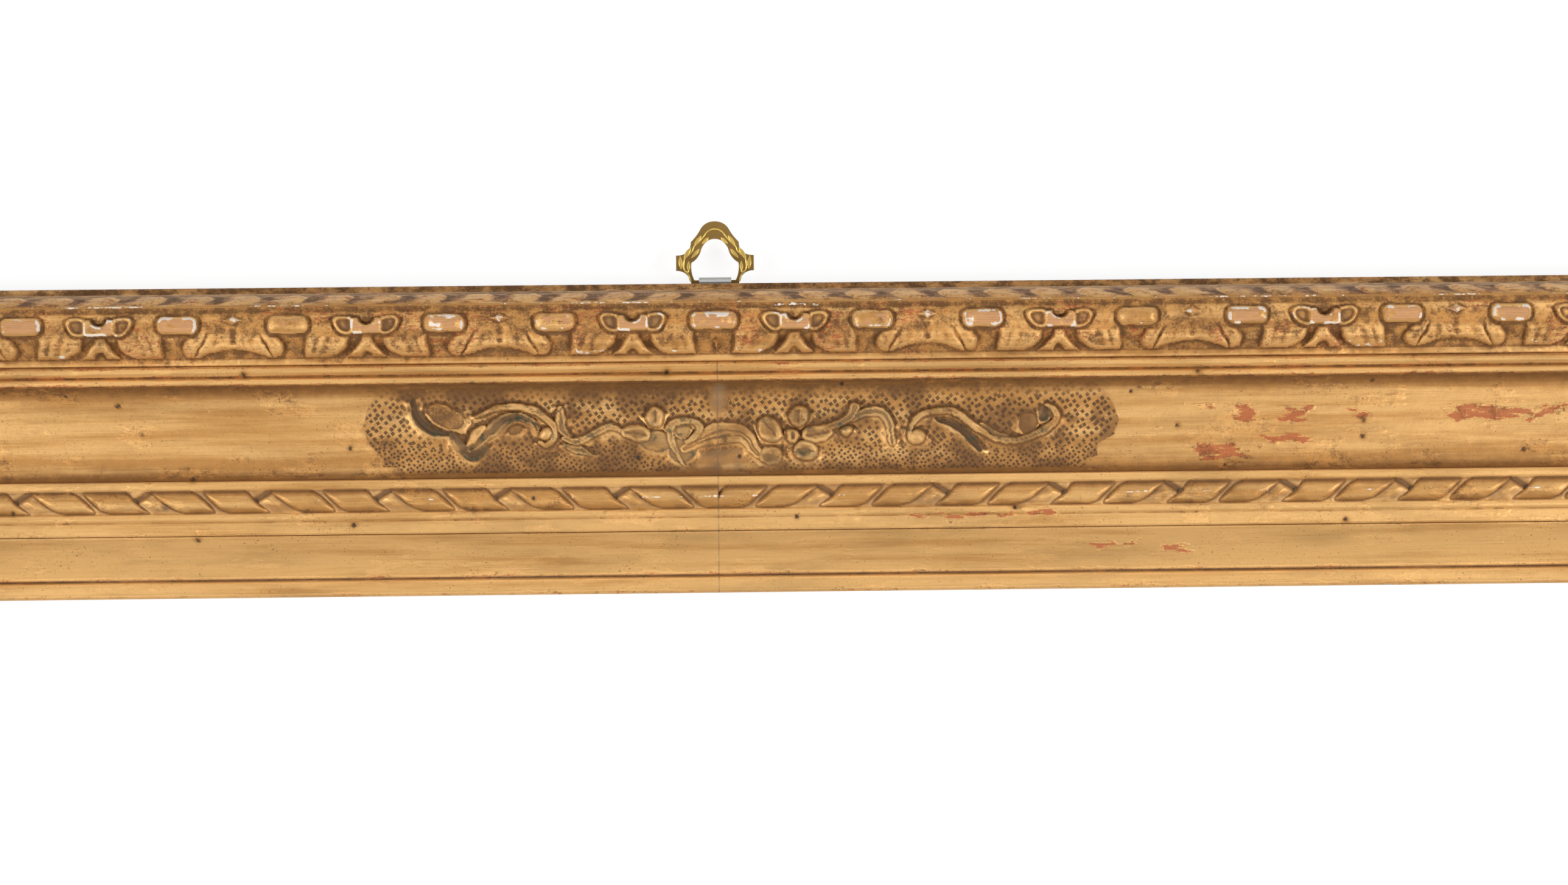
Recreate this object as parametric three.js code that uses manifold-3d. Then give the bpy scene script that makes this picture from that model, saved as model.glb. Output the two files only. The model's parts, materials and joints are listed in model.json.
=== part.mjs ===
// A carved and gilded picture frame, hung by a brass ring from the back of its top rail.
// Its width was once reduced: the top and bottom rails were cut at mid length and spliced again.
// Millimetres, +Z up, +Y towards the wall. The origin is the point that the ring hangs from.

import * as THREE from "three";
import { mergeVertices } from "three/addons/utils/BufferGeometryUtils.js";
import Module from "manifold-3d";

const wasm = await Module();
wasm.setup();

// Canvas and rebate
const CANVAS_WIDTH = 650;
const CANVAS_HEIGHT = 540;
const CANVAS_PLAY = 2.5; // room round the canvas, on each side
const REBATE_WIDTH = 8; // how far the sight lip covers the canvas
const REBATE_DEPTH = 14; // from the back of the frame to the lip

// Widths of the moulding's members, in order from the outer edge to the sight edge
const OUTER_FILLET_WIDTH = 2.2;
const LEAF_BAND_WIDTH = 4.5;
const TORUS_WIDTH = 16.5;
const GROUND_FILLET_WIDTH = 2.3;
const LARGE_BEAD_WIDTH = 3.5;
const SMALL_BEAD_WIDTH = 3;
const HOLLOW_WIDTH = 30.3;
const RIBBON_FILLET_WIDTH = 2.9;
const RIBBON_WIDTH = 7.5;
const PLAIN_BAND_WIDTH = 7.1;
const SIGHT_COVE_WIDTH = 14.5;
const SIGHT_BEAD_WIDTH = 5.7;

// Heights of those members above the back of the frame
const OUTER_EDGE_HEIGHT = 12;
const LEAF_BAND_FOOT_HEIGHT = 14.5;
const ARRIS_HEIGHT = 37.5;
const TORUS_HEIGHT = 39; // the ground that the bars and knots stand on
const GROUND_FILLET_HEIGHT = 34;
const LARGE_BEAD_HEIGHT = 35.3;
const SMALL_BEAD_HEIGHT = 33.8;
const BEAD_QUIRK_HEIGHT = 32.5; // bottom of the groove between the two beads
const HOLLOW_HEIGHT = 25.2;
const RIBBON_FILLET_HEIGHT = 30;
const RIBBON_BED_HEIGHT = 28.2;
const PLAIN_BAND_HEIGHT = 29.5;
const SLIP_TOP_HEIGHT = 28;
const SIGHT_QUIRK_HEIGHT = 19;
const SIGHT_BEAD_HEIGHT = 20.5;
const SIGHT_EDGE_HEIGHT = 18;

// Shape of the curved members
const TORUS_SHOULDER_WIDTH = 2.4; // the rounded side between the arris and the ground of the bars
const TORUS_GROUND_WIDTH = 6.9; // the flat ground of the bars and knots
const HOLLOW_CORNER = 4; // width of the curved foot on each side of the hollow
const LEAF_BAND_SWELL = 1; // how far the leaf band bulges from its chord
const SIGHT_COVE_SAG = 1.2; // how far the sight cove dips below its chord
const BEAD_FOOT_DROP = 1; // from the ground fillet down to the foot of the large bead
const CURVE_STEPS = 4;
const ROUND_STEPS = 8;

// Carving of the torus. Along a rail, distances are measured outwards from its middle.
const CARVING_PERIOD = 85; // from one knot to the next
const FIRST_KNOT_LEFT = 27;
const FIRST_KNOT_RIGHT = 24.9;
const BAR_FROM_KNOT = 24.9;
const BAR_LENGTH = 12.4;
const BAR_WIDTH = 5.6;
const BAR_RELIEF = 2.8;
const KNOT_LENGTH = 8.8;
const KNOT_WIDTH = 3.4;
const KNOT_DROP = 1.1; // from the line of the bars to the knot, which is bitten out above
const KNOT_RELIEF = 2.6;
const KNOT_LOOP_LENGTH = 20;
const KNOT_LOOP_WIDTH = 4.8;
const KNOT_LOOP_RELIEF = 1;
const LOZENGE_LENGTH = 6;
const LOZENGE_WIDTH = 3.4;
const LOZENGE_RELIEF = 2;
const LEAF_RELIEF = 2; // of the leaves that hang from the crest down to the ground fillet
const LEAF_LOBE_FROM_KNOT = 15.1;
const LEAF_LOBE_LENGTH = 6.6;
const LEAF_SCROLL_FROM_KNOT = 29.4;
const LEAF_SCROLL_LENGTH = 4.2;
const LEAF_PANEL_LENGTH = 17; // under a lozenge, over a low arch
const LEAF_PANEL_RISE = 3.6; // from the ground fillet up to the arch
const CARVING_CHAMFER = 0.9;
const CARVING_ROOT = 1.5; // how far a carved piece is sunk into its ground
const CARVING_MARGIN = 2; // between the carving and a mitre

// The ribbon wound round a stick: the stick's lengths lie between slanted turns of the ribbon,
// which are narrow and wide by turns
const TURN_PITCH_LEFT = 19.2;
const TURN_PITCH_RIGHT = 18.7;
const FIRST_TURN_LEFT = 10;
const FIRST_TURN_RIGHT = 13.9;
const NARROW_TURN = 2.8;
const WIDE_TURN = 7.6;
const STICK_WIDTH = 6.2;
const STICK_RELIEF = 1.9;
const STICK_STEPS = 2;

// Joints in the wood
const SLIP_SEAT_HEIGHT = 12; // underside of the sight slip, above the back of the frame
const GLUE_LINE = 0.3;
const KEY_DISTANCE = 62; // from the outer corner to the middle of a mitre key
const KEY_WIDE_END = 22;
const KEY_NARROW_END = 16;
const KEY_DEPTH = 9;
const KEY_DOVETAIL = 2; // how much wider each side of a key is at its bottom
const KEY_RECESS = 0.3;

// Splice in the top and bottom rails
const PLATE_LENGTH = 140;
const PLATE_WIDTH = 60;
const PLATE_DEPTH = 9;
const PLATE_EDGE = 6; // from the outer edge of the rail to the plate
const PLATE_RECESS = 0.3;
const PLATE_CORNER = 5;
const PLATE_SCREW_INSET_X = 16;
const PLATE_SCREW_INSET_Z = 14;
const DOWEL_RADIUS = 5;
const DOWEL_LENGTH = 60;
const DOWEL_CHAMFER = 1;
const OUTER_DOWEL_INSET = 16; // from the outer edge of the rail
const OUTER_DOWEL_HEIGHT = 23;
const INNER_DOWEL_FROM_PLATE_EDGE = 12; // outwards from the plate's inner edge
const INNER_DOWEL_HEIGHT = 16.5;

// Wood screws in the splice plates
const PLATE_SCREW_LENGTH = 18;
const PLATE_SCREW_RADIUS = 2;
const PLATE_SCREW_HEAD_RADIUS = 4;
const PLATE_SCREW_HEAD_DEPTH = 2.6;
const SLOT_WIDTH = 0.9;
const SLOT_DEPTH = 1;

// Pins that hold the sight slips
const PIN_RADIUS = 0.8;
const PIN_LENGTH = 16;
const PIN_SINK = 1.5; // how far a pin's head is punched below the cove
const PIN_INSET = 9; // from the slip's outer side
const PIN_FROM_END = 60; // from a slip's end at the sight line, or from the splice

// Hanger: a folded strap, its screws and a stamped ring
const STRAP_WIDTH = 10.6;
const STRAP_THICKNESS = 0.5;
const STRAP_LENGTH = 33;
const STRAP_LEAF_GAP = 0.15;
const STRAP_GAP = 0.3; // between the strap and the back of the frame
const STRAP_NOSE = 2.5; // chamfer of the strap's lower corners
const LOOP_RADIUS = 1.57;
const LOOP_TURN = 245; // degrees of the strap's turn round the ring's bar
const LOOP_ABOVE_EDGE = 1.2; // from the frame's top edge to the axis of the ring
const STRAP_SCREW_DROPS = [10, 24]; // below the axis of the ring
const STRAP_SCREW_RADIUS = 1.3;
const STRAP_SCREW_LENGTH = 8;
const STRAP_SCREW_HEAD_RADIUS = 2.5;
const STRAP_SCREW_HEAD_HEIGHT = 1.5;
const SCREW_SLOT_WIDTH = 0.7;
const SCREW_SLOT_DEPTH = 0.8;
const SCREW_CLEARANCE = 0.3;

// The ring's outline, measured from the axis that it swings on
const RING_THICKNESS = 1;
const RING_BAR_HEIGHT = 1.3;
const RING_FOOT_HALF_WIDTH = 7.8;
const RING_TAB_HALF_WIDTH = 12.8;
const RING_TAB_LOW = 3.8;
const RING_TAB_HIGH = 8.8;
const RING_CUSP_HALF_WIDTH = 7.9; // the points where the tabs' curves meet the crown's
const RING_CUSP_HEIGHT = 13.2;
const RING_CROWN_HALF_WIDTH = 4.7;
const RING_CROWN_HEIGHT = 17.4;
const RING_TOP = 20;
const RING_FOOT_FLARE = 0.9;
const RING_EYE_TOP = 14.2;
const RING_EYE_NECK_HALF_WIDTH = 4.4; // the eye's sides under its crown
const RING_EYE_NECK_HEIGHT = 10.9;
const RING_EYE_HALF_WIDTH = 7.7;
const RING_EYE_SHOULDER = 6.4; // height where the eye is widest
const RING_EYE_FOOT_HALF_WIDTH = 6.8;
const RING_EYE_BULGE = 0.4;

// Materials, in the colours of the old finish
const GILDING = { color: 0xc69a58, roughness: 0.45, metalness: 0.6 };
const HARDWOOD = { color: 0x6f4c2e, roughness: 0.75, metalness: 0 };
const BEECH = { color: 0xb08a5c, roughness: 0.7, metalness: 0 };
const IRON = { color: 0x4b4742, roughness: 0.6, metalness: 0.8 };
const PLATED_STEEL = { color: 0xc9c8c6, roughness: 0.35, metalness: 0.9 };
const BRASS = { color: 0xd0a83c, roughness: 0.3, metalness: 1 };

// Running positions across the moulding, from the outer edge
const leafBandAt = OUTER_FILLET_WIDTH;
const arrisAt = leafBandAt + LEAF_BAND_WIDTH;
const torusGroundAt = arrisAt + TORUS_SHOULDER_WIDTH;
const torusSlopeAt = torusGroundAt + TORUS_GROUND_WIDTH;
const groundFilletAt = arrisAt + TORUS_WIDTH;
const largeBeadAt = groundFilletAt + GROUND_FILLET_WIDTH;
const smallBeadAt = largeBeadAt + LARGE_BEAD_WIDTH;
const hollowAt = smallBeadAt + SMALL_BEAD_WIDTH;
const ribbonFilletAt = hollowAt + HOLLOW_WIDTH;
const ribbonAt = ribbonFilletAt + RIBBON_FILLET_WIDTH;
const plainBandAt = ribbonAt + RIBBON_WIDTH;
const slipAt = plainBandAt + PLAIN_BAND_WIDTH;
const sightBeadAt = slipAt + SIGHT_COVE_WIDTH;
const railWidth = sightBeadAt + SIGHT_BEAD_WIDTH;
const rebateAt = railWidth - REBATE_WIDTH;

// Overall sizes
const outerWidth = CANVAS_WIDTH + 2 * (CANVAS_PLAY + rebateAt);
const outerHeight = CANVAS_HEIGHT + 2 * (CANVAS_PLAY + rebateAt);

// Solids: a geometry becomes a closed solid, is cut, and becomes a geometry again
function solidOf(geometry) {
  const bare = geometry.clone();
  bare.deleteAttribute("normal");
  bare.deleteAttribute("uv");
  const merged = mergeVertices(bare);
  return new wasm.Manifold(
    new wasm.Mesh({
      numProp: 3,
      vertProperties: new Float32Array(merged.attributes.position.array),
      triVerts: new Uint32Array(merged.index.array),
    }),
  );
}

function geometryOf(solid) {
  const mesh = solid.getMesh();
  const geometry = new THREE.BufferGeometry();
  geometry.setAttribute("position", new THREE.BufferAttribute(mesh.vertProperties, mesh.numProp));
  geometry.setIndex(new THREE.BufferAttribute(mesh.triVerts, 1));
  const flat = geometry.toNonIndexed();
  flat.computeVertexNormals();
  return flat;
}

function cut(geometry, cutters) {
  const left = cutters.reduce((solid, cutter) => solid.subtract(solidOf(cutter)), solidOf(geometry));
  return geometryOf(left);
}

function join(geometry, additions) {
  const whole = additions.reduce((solid, addition) => solid.add(solidOf(addition)), solidOf(geometry));
  return geometryOf(whole);
}

// A turned shape about the Y axis, from [radius, y] points that start and end on the axis
function turned(points) {
  const profile = points.map(([radius, y]) => new THREE.Vector2(radius, y));
  return new THREE.LatheGeometry(profile, ROUND_STEPS);
}

// The rail's section: across is the distance from the outer edge, and height is above the back
function railSection() {
  const section = new THREE.Shape();
  section.moveTo(0, 0);
  section.lineTo(rebateAt, 0);
  section.lineTo(rebateAt, SLIP_SEAT_HEIGHT - GLUE_LINE);
  section.lineTo(slipAt, SLIP_SEAT_HEIGHT - GLUE_LINE);
  section.lineTo(slipAt, PLAIN_BAND_HEIGHT);
  section.lineTo(plainBandAt, PLAIN_BAND_HEIGHT);
  ribbonMembers(section);
  hollowMembers(section);
  torusMembers(section);
  section.lineTo(0, OUTER_EDGE_HEIGHT);
  section.closePath();
  return section;
}

function ribbonMembers(section) {
  section.lineTo(plainBandAt, RIBBON_BED_HEIGHT);
  section.lineTo(ribbonAt, RIBBON_BED_HEIGHT);
  section.lineTo(ribbonAt, RIBBON_FILLET_HEIGHT);
  section.lineTo(ribbonFilletAt, RIBBON_FILLET_HEIGHT);
}

function hollowMembers(section) {
  const footTop = (HOLLOW_HEIGHT + RIBBON_FILLET_HEIGHT) / 2;
  section.lineTo(ribbonFilletAt, footTop);
  section.quadraticCurveTo(ribbonFilletAt, HOLLOW_HEIGHT, ribbonFilletAt - HOLLOW_CORNER, HOLLOW_HEIGHT);
  section.lineTo(hollowAt + HOLLOW_CORNER, HOLLOW_HEIGHT);
  section.quadraticCurveTo(hollowAt, HOLLOW_HEIGHT, hollowAt, HOLLOW_HEIGHT + HOLLOW_CORNER);
  bead(section, hollowAt, smallBeadAt, BEAD_QUIRK_HEIGHT, SMALL_BEAD_HEIGHT);
  bead(section, smallBeadAt, largeBeadAt, GROUND_FILLET_HEIGHT - BEAD_FOOT_DROP, LARGE_BEAD_HEIGHT);
}

// A half round between two lines of the moulding, standing on a foot height and reaching a crest
function bead(section, from, to, foot, crest) {
  section.lineTo(from, foot);
  section.quadraticCurveTo((from + to) / 2, 2 * crest - foot, to, foot);
}

function torusMembers(section) {
  section.lineTo(largeBeadAt, GROUND_FILLET_HEIGHT);
  section.lineTo(groundFilletAt, GROUND_FILLET_HEIGHT);
  section.lineTo(torusSlopeAt, TORUS_HEIGHT);
  section.lineTo(torusGroundAt, TORUS_HEIGHT);
  section.quadraticCurveTo(arrisAt, TORUS_HEIGHT, arrisAt, ARRIS_HEIGHT);
  const bandMiddle = (leafBandAt + arrisAt) / 2 - LEAF_BAND_SWELL;
  const bandMiddleHeight = (LEAF_BAND_FOOT_HEIGHT + ARRIS_HEIGHT) / 2 + LEAF_BAND_SWELL;
  section.quadraticCurveTo(bandMiddle, bandMiddleHeight, leafBandAt, LEAF_BAND_FOOT_HEIGHT);
}

// The sight slip's section: a cove and a bead, with a lip that hangs over the rebate
function slipSection() {
  const outer = slipAt + GLUE_LINE;
  const inner = rebateAt - GLUE_LINE;
  const coveMiddle = (outer + sightBeadAt) / 2;
  const coveMiddleHeight = (SLIP_TOP_HEIGHT + SIGHT_BEAD_HEIGHT) / 2 - 2 * SIGHT_COVE_SAG;
  const section = new THREE.Shape();
  section.moveTo(outer, SLIP_SEAT_HEIGHT);
  section.lineTo(inner, SLIP_SEAT_HEIGHT);
  section.lineTo(inner, REBATE_DEPTH);
  section.lineTo(railWidth, REBATE_DEPTH);
  section.lineTo(railWidth, SIGHT_EDGE_HEIGHT);
  const beadMiddle = (sightBeadAt + railWidth) / 2;
  section.quadraticCurveTo(railWidth, SIGHT_BEAD_HEIGHT, beadMiddle, SIGHT_BEAD_HEIGHT);
  section.quadraticCurveTo(sightBeadAt, SIGHT_BEAD_HEIGHT, sightBeadAt, SIGHT_QUIRK_HEIGHT);
  section.lineTo(sightBeadAt, SIGHT_BEAD_HEIGHT);
  section.quadraticCurveTo(coveMiddle, coveMiddleHeight, outer, SLIP_TOP_HEIGHT);
  section.closePath();
  return section;
}

// A length of one section along X, the frame's outer edge at z = reach. An end lies at a place along X
// for the outer edge, and its slope is how far the end moves along X per unit across the rail.
function lengthOf(section, reach, left, right, curveSegments = CURVE_STEPS) {
  const extruded = new THREE.ExtrudeGeometry(section, { depth: 1, bevelEnabled: false, curveSegments });
  const points = extruded.attributes.position;
  for (let i = 0; i < points.count; i++) {
    const across = points.getX(i);
    const height = points.getY(i);
    const end = points.getZ(i) > 0.5 ? left : right;
    points.setXYZ(i, end.at + end.slope * across, -height, reach - across);
  }
  return extruded;
}

// A carved block on the front of a rail: it spans from..to along X and outer..inner across the rail,
// stands on a foot height on each side, and its top is smaller by the chamfer all round.
function boss(reach, { from, to, outer, inner, outerFoot, innerFoot, relief }) {
  const corners = [];
  for (const raised of [false, true]) {
    const shrink = raised ? CARVING_CHAMFER : 0;
    for (const side of [0, 1]) {
      const across = side === 0 ? outer + shrink : inner - shrink;
      const foot = side === 0 ? outerFoot : innerFoot;
      const height = foot + (raised ? relief : -CARVING_ROOT);
      for (const x of [from + shrink, to - shrink]) corners.push([x, -height, reach - across]);
    }
  }
  return hexahedron(corners);
}

// A low pyramid of four sides between two bars
function lozenge(reach, middle, line) {
  const shape = new THREE.ConeGeometry(1, LOZENGE_RELIEF + CARVING_ROOT, 4).rotateX(Math.PI);
  shape.scale(LOZENGE_LENGTH / 2, 1, LOZENGE_WIDTH / 2);
  const height = TORUS_HEIGHT + (LOZENGE_RELIEF - CARVING_ROOT) / 2;
  return shape.translate(middle, -height, reach - line);
}

// Height of the torus under its carving: the flat ground of the bars, then the slope of the leaves
function torusGround(across) {
  const share = Math.max((across - torusSlopeAt) / (groundFilletAt - torusSlopeAt), 0);
  return THREE.MathUtils.lerp(TORUS_HEIGHT, GROUND_FILLET_HEIGHT, share);
}

// The torus carving on one half of a side. The half runs from its start, near the rail's middle,
// out to the mitre; hand is 1 to the right and -1 to the left.
function torusCarving(reach, hand, start, outEnd, firstKnot) {
  const line = torusGroundAt + TORUS_GROUND_WIDTH / 2;
  const leafOuter = torusSlopeAt + CARVING_CHAMFER;
  const leafInner = groundFilletAt - CARVING_CHAMFER / 2;
  const carved = [];
  const place = (middle, length, outer, inner, relief) => {
    const from = Math.max(middle - length / 2, start);
    const to = middle + length / 2;
    const fits = to - from > 3 * CARVING_CHAMFER && to + inner + CARVING_MARGIN < outEnd;
    if (!fits) return;
    const ends = hand > 0 ? { from, to } : { from: -to, to: -from };
    const feet = { outerFoot: torusGround(outer), innerFoot: torusGround(inner) };
    carved.push(boss(reach, { ...ends, ...feet, outer, inner, relief }));
  };
  const onCrest = (middle, length, width, relief, drop = 0) => {
    place(middle, length, line + drop - width / 2, line + drop + width / 2, relief);
  };
  const hanging = (middle, length, inner) => place(middle, length, leafOuter, inner, LEAF_RELIEF);
  for (let knot = firstKnot - CARVING_PERIOD; knot < outEnd; knot += CARVING_PERIOD) {
    onCrest(knot, KNOT_LOOP_LENGTH, KNOT_LOOP_WIDTH, KNOT_LOOP_RELIEF);
    onCrest(knot, KNOT_LENGTH, KNOT_WIDTH, KNOT_RELIEF, KNOT_DROP);
    for (const side of [-1, 1]) {
      onCrest(knot + side * BAR_FROM_KNOT, BAR_LENGTH, BAR_WIDTH, BAR_RELIEF);
      hanging(knot + side * LEAF_LOBE_FROM_KNOT, LEAF_LOBE_LENGTH, leafInner);
      hanging(knot + side * LEAF_SCROLL_FROM_KNOT, LEAF_SCROLL_LENGTH, leafInner);
    }
    const between = knot + CARVING_PERIOD / 2;
    hanging(between, LEAF_PANEL_LENGTH, groundFilletAt - LEAF_PANEL_RISE);
    const lozengeFits = between - LOZENGE_LENGTH > start && between + LOZENGE_LENGTH + line < outEnd;
    if (lozengeFits) carved.push(lozenge(reach, hand * between, line));
  }
  return carved;
}

// The lengths of stick between the slanted turns of the ribbon, on one half of a side
function stickLengths(reach, hand, start, outEnd, firstTurn, pitch) {
  const middle = ribbonAt + RIBBON_WIDTH / 2;
  const low = RIBBON_BED_HEIGHT - CARVING_ROOT;
  const section = new THREE.Shape();
  section.moveTo(middle - STICK_WIDTH / 2, low);
  section.lineTo(middle + STICK_WIDTH / 2, low);
  section.lineTo(middle + STICK_WIDTH / 2, RIBBON_BED_HEIGHT);
  const peak = RIBBON_BED_HEIGHT + 2 * STICK_RELIEF;
  section.quadraticCurveTo(middle, peak, middle - STICK_WIDTH / 2, RIBBON_BED_HEIGHT);
  section.closePath();

  const sticks = [];
  const lastEnd = outEnd - middle - CARVING_MARGIN;
  const slant = { slope: -hand };
  let inner = { at: hand * start, slope: 0 };
  for (let turn = 0, at = firstTurn; inner !== null; turn++, at += pitch) {
    const width = turn % 2 === 0 ? NARROW_TURN : WIDE_TURN;
    const last = at + pitch > lastEnd;
    const end = last ? lastEnd : at - width / 2;
    const outer = { ...slant, at: hand * (end + middle) };
    const [left, right] = hand > 0 ? [inner, outer] : [outer, inner];
    sticks.push(lengthOf(section, reach, left, right, STICK_STEPS));
    inner = last ? null : { ...slant, at: hand * (at + width / 2 + middle) };
  }
  return sticks;
}

// A tapered dovetail key across a mitre, in the frame of the top right corner. Its ends are cut back
// flush with the two outer edges, and its sides splay so that it can't lift out.
function mitreKey(clearance, recess) {
  const corners = [];
  for (const [depth, splay] of [[recess, 0], [KEY_DEPTH + clearance, KEY_DOVETAIL]]) {
    for (const side of [-1, 1]) {
      for (const end of [-1, 1]) {
        const width = end < 0 ? KEY_WIDE_END : KEY_NARROW_END;
        const inward = KEY_DISTANCE + side * (width / 2 + splay + clearance);
        const half = inward - GLUE_LINE + clearance * 3;
        const across = new THREE.Vector2(-1, -1).multiplyScalar(inward / Math.SQRT2);
        const along = new THREE.Vector2(1, -1).multiplyScalar((end * half) / Math.SQRT2);
        corners.push([across.x + along.x, -depth, across.y + along.y]);
      }
    }
  }
  return hexahedron(corners);
}

// A closed block from eight corners: back face first, and in each face the four corners of a grid
function hexahedron(corners) {
  const quads = [[0, 1, 3, 2], [4, 6, 7, 5], [0, 4, 5, 1], [2, 3, 7, 6], [0, 2, 6, 4], [1, 5, 7, 3]];
  const order = quads.flatMap(([a, b, c, d]) => [a, b, c, a, c, d]);
  const geometry = new THREE.BufferGeometry();
  const points = order.flatMap((corner) => corners[corner]);
  geometry.setAttribute("position", new THREE.Float32BufferAttribute(points, 3));
  geometry.computeVertexNormals();
  return geometry;
}

// Splice plate: a board with cut corners, let into the back of both halves of a rail
function splicePlate(clearance, recess) {
  const x = PLATE_LENGTH / 2 + clearance;
  const z = PLATE_WIDTH / 2 + clearance;
  const outline = new THREE.Shape();
  outline.moveTo(-x + PLATE_CORNER, -z);
  outline.lineTo(x - PLATE_CORNER, -z);
  outline.lineTo(x, -z + PLATE_CORNER);
  outline.lineTo(x, z - PLATE_CORNER);
  outline.lineTo(x - PLATE_CORNER, z);
  outline.lineTo(-x + PLATE_CORNER, z);
  outline.lineTo(-x, z - PLATE_CORNER);
  outline.lineTo(-x, -z + PLATE_CORNER);
  outline.closePath();
  const depth = PLATE_DEPTH + clearance - recess;
  const board = new THREE.ExtrudeGeometry(outline, { depth, bevelEnabled: false });
  board.rotateX(Math.PI / 2);
  board.translate(0, -recess, 0);
  return board;
}

// Countersunk screw, head towards +Y with its face at y = 0
function countersunkScrew(clearance) {
  const shank = PLATE_SCREW_RADIUS + clearance;
  const head = PLATE_SCREW_HEAD_RADIUS + clearance;
  const tip = -PLATE_SCREW_LENGTH - clearance;
  return turned([
    [0, tip],
    [shank / 2, tip + PLATE_SCREW_RADIUS / 2],
    [shank, tip + PLATE_SCREW_RADIUS * 3],
    [shank, -PLATE_SCREW_HEAD_DEPTH],
    [head, 0],
    [head, clearance],
    [0, clearance],
  ].filter((point, i, all) => i === 0 || point[0] !== all[i - 1][0] || point[1] !== all[i - 1][1]));
}

// Round-headed screw of the strap, its shank below y = 0 and its head above
function strapScrew(clearance) {
  const shank = STRAP_SCREW_RADIUS + clearance;
  const tip = -STRAP_SCREW_LENGTH - clearance;
  return turned([
    [0, tip],
    [shank, tip + STRAP_SCREW_RADIUS * 2],
    [shank, 0],
    [STRAP_SCREW_HEAD_RADIUS, 0],
    [STRAP_SCREW_HEAD_RADIUS, STRAP_SCREW_HEAD_HEIGHT / 3],
    [STRAP_SCREW_HEAD_RADIUS / 2, STRAP_SCREW_HEAD_HEIGHT],
    [0, STRAP_SCREW_HEAD_HEIGHT],
  ]);
}

// The slot across a screw's head, with its floor a given depth under the head's top
function screwSlot(radius, top, width, depth) {
  const slot = new THREE.BoxGeometry(3 * radius, 2 * depth, width);
  slot.translate(0, top, 0);
  return slot;
}

function pin(clearance) {
  const radius = PIN_RADIUS + clearance;
  return turned([
    [0, -PIN_LENGTH - clearance],
    [radius, -PIN_LENGTH + PIN_RADIUS * 2],
    [radius, clearance],
    [0, clearance],
  ]);
}

// Dowel along X, or the hole for it
function dowel(clearance) {
  const radius = DOWEL_RADIUS + clearance;
  const half = DOWEL_LENGTH / 2 + clearance;
  const rod = turned([
    [0, -half],
    [radius - DOWEL_CHAMFER, -half],
    [radius, -half + DOWEL_CHAMFER],
    [radius, half - DOWEL_CHAMFER],
    [radius - DOWEL_CHAMFER, half],
    [0, half],
  ]);
  return rod.rotateZ(Math.PI / 2);
}

// Height of the slip's cove above the back, at a distance from the slip's outer side
function coveHeight(inset) {
  const outer = slipAt + GLUE_LINE;
  const share = inset / (sightBeadAt - outer);
  const middle = (SLIP_TOP_HEIGHT + SIGHT_BEAD_HEIGHT) / 2 - 2 * SIGHT_COVE_SAG;
  return (
    (1 - share) ** 2 * SLIP_TOP_HEIGHT + 2 * share * (1 - share) * middle + share ** 2 * SIGHT_BEAD_HEIGHT
  );
}

// Hanger strap: a strip folded round the ring's bar, so that both leaves lie on the back of the frame.
// Its line runs up the front leaf, round the loop and down the rear leaf, in the plane of y and z.
function strap() {
  const middleRadius = LOOP_RADIUS - STRAP_THICKNESS / 2;
  const frontLeaf = -middleRadius;
  const rearLeaf = frontLeaf + STRAP_THICKNESS + STRAP_LEAF_GAP;
  const line = [new THREE.Vector2(frontLeaf, -STRAP_LENGTH)];
  const turn = THREE.MathUtils.degToRad(LOOP_TURN);
  for (let i = 0; i <= ROUND_STEPS; i++) {
    const angle = Math.PI - (turn * i) / ROUND_STEPS;
    line.push(new THREE.Vector2(middleRadius * Math.cos(angle), middleRadius * Math.sin(angle)));
  }
  line.push(new THREE.Vector2(rearLeaf, -2 * LOOP_RADIUS));
  line.push(new THREE.Vector2(rearLeaf, -STRAP_LENGTH));
  const strip = new THREE.ExtrudeGeometry(stripOutline(line, STRAP_THICKNESS), {
    depth: STRAP_WIDTH,
    bevelEnabled: false,
  });
  // The outline's x and y become y and z, and the strip runs along x
  strip.applyMatrix4(new THREE.Matrix4().set(0, 0, 1, -STRAP_WIDTH / 2, 1, 0, 0, 0, 0, 1, 0, 0, 0, 0, 0, 1));
  const cutters = STRAP_SCREW_DROPS.map((drop) => strapScrew(SCREW_CLEARANCE).translate(0, 0, -drop));
  for (const side of [-1, 1]) {
    const nose = new THREE.BoxGeometry(2 * STRAP_NOSE, 6 * LOOP_RADIUS, 2 * STRAP_NOSE).rotateY(Math.PI / 4);
    cutters.push(nose.translate((side * STRAP_WIDTH) / 2, 0, -STRAP_LENGTH));
  }
  return cut(strip, cutters);
}

// The closed outline of a strip of even thickness along a line of points
function stripOutline(line, thickness) {
  const left = [];
  const right = [];
  line.forEach((point, i) => {
    const before = line[Math.max(i - 1, 0)];
    const after = line[Math.min(i + 1, line.length - 1)];
    const inDirection = point.clone().sub(before).normalize();
    const outDirection = after.clone().sub(point).normalize();
    const direction = inDirection.clone().add(outDirection).normalize();
    const normal = new THREE.Vector2(-direction.y, direction.x);
    const bend = Math.max(Math.abs(direction.dot(i === 0 ? outDirection : inDirection)), 0.5);
    const offset = normal.multiplyScalar(thickness / 2 / bend);
    left.push(point.clone().add(offset));
    right.push(point.clone().sub(offset));
  });
  return new THREE.Shape([...left, ...right.reverse()]);
}

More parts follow.
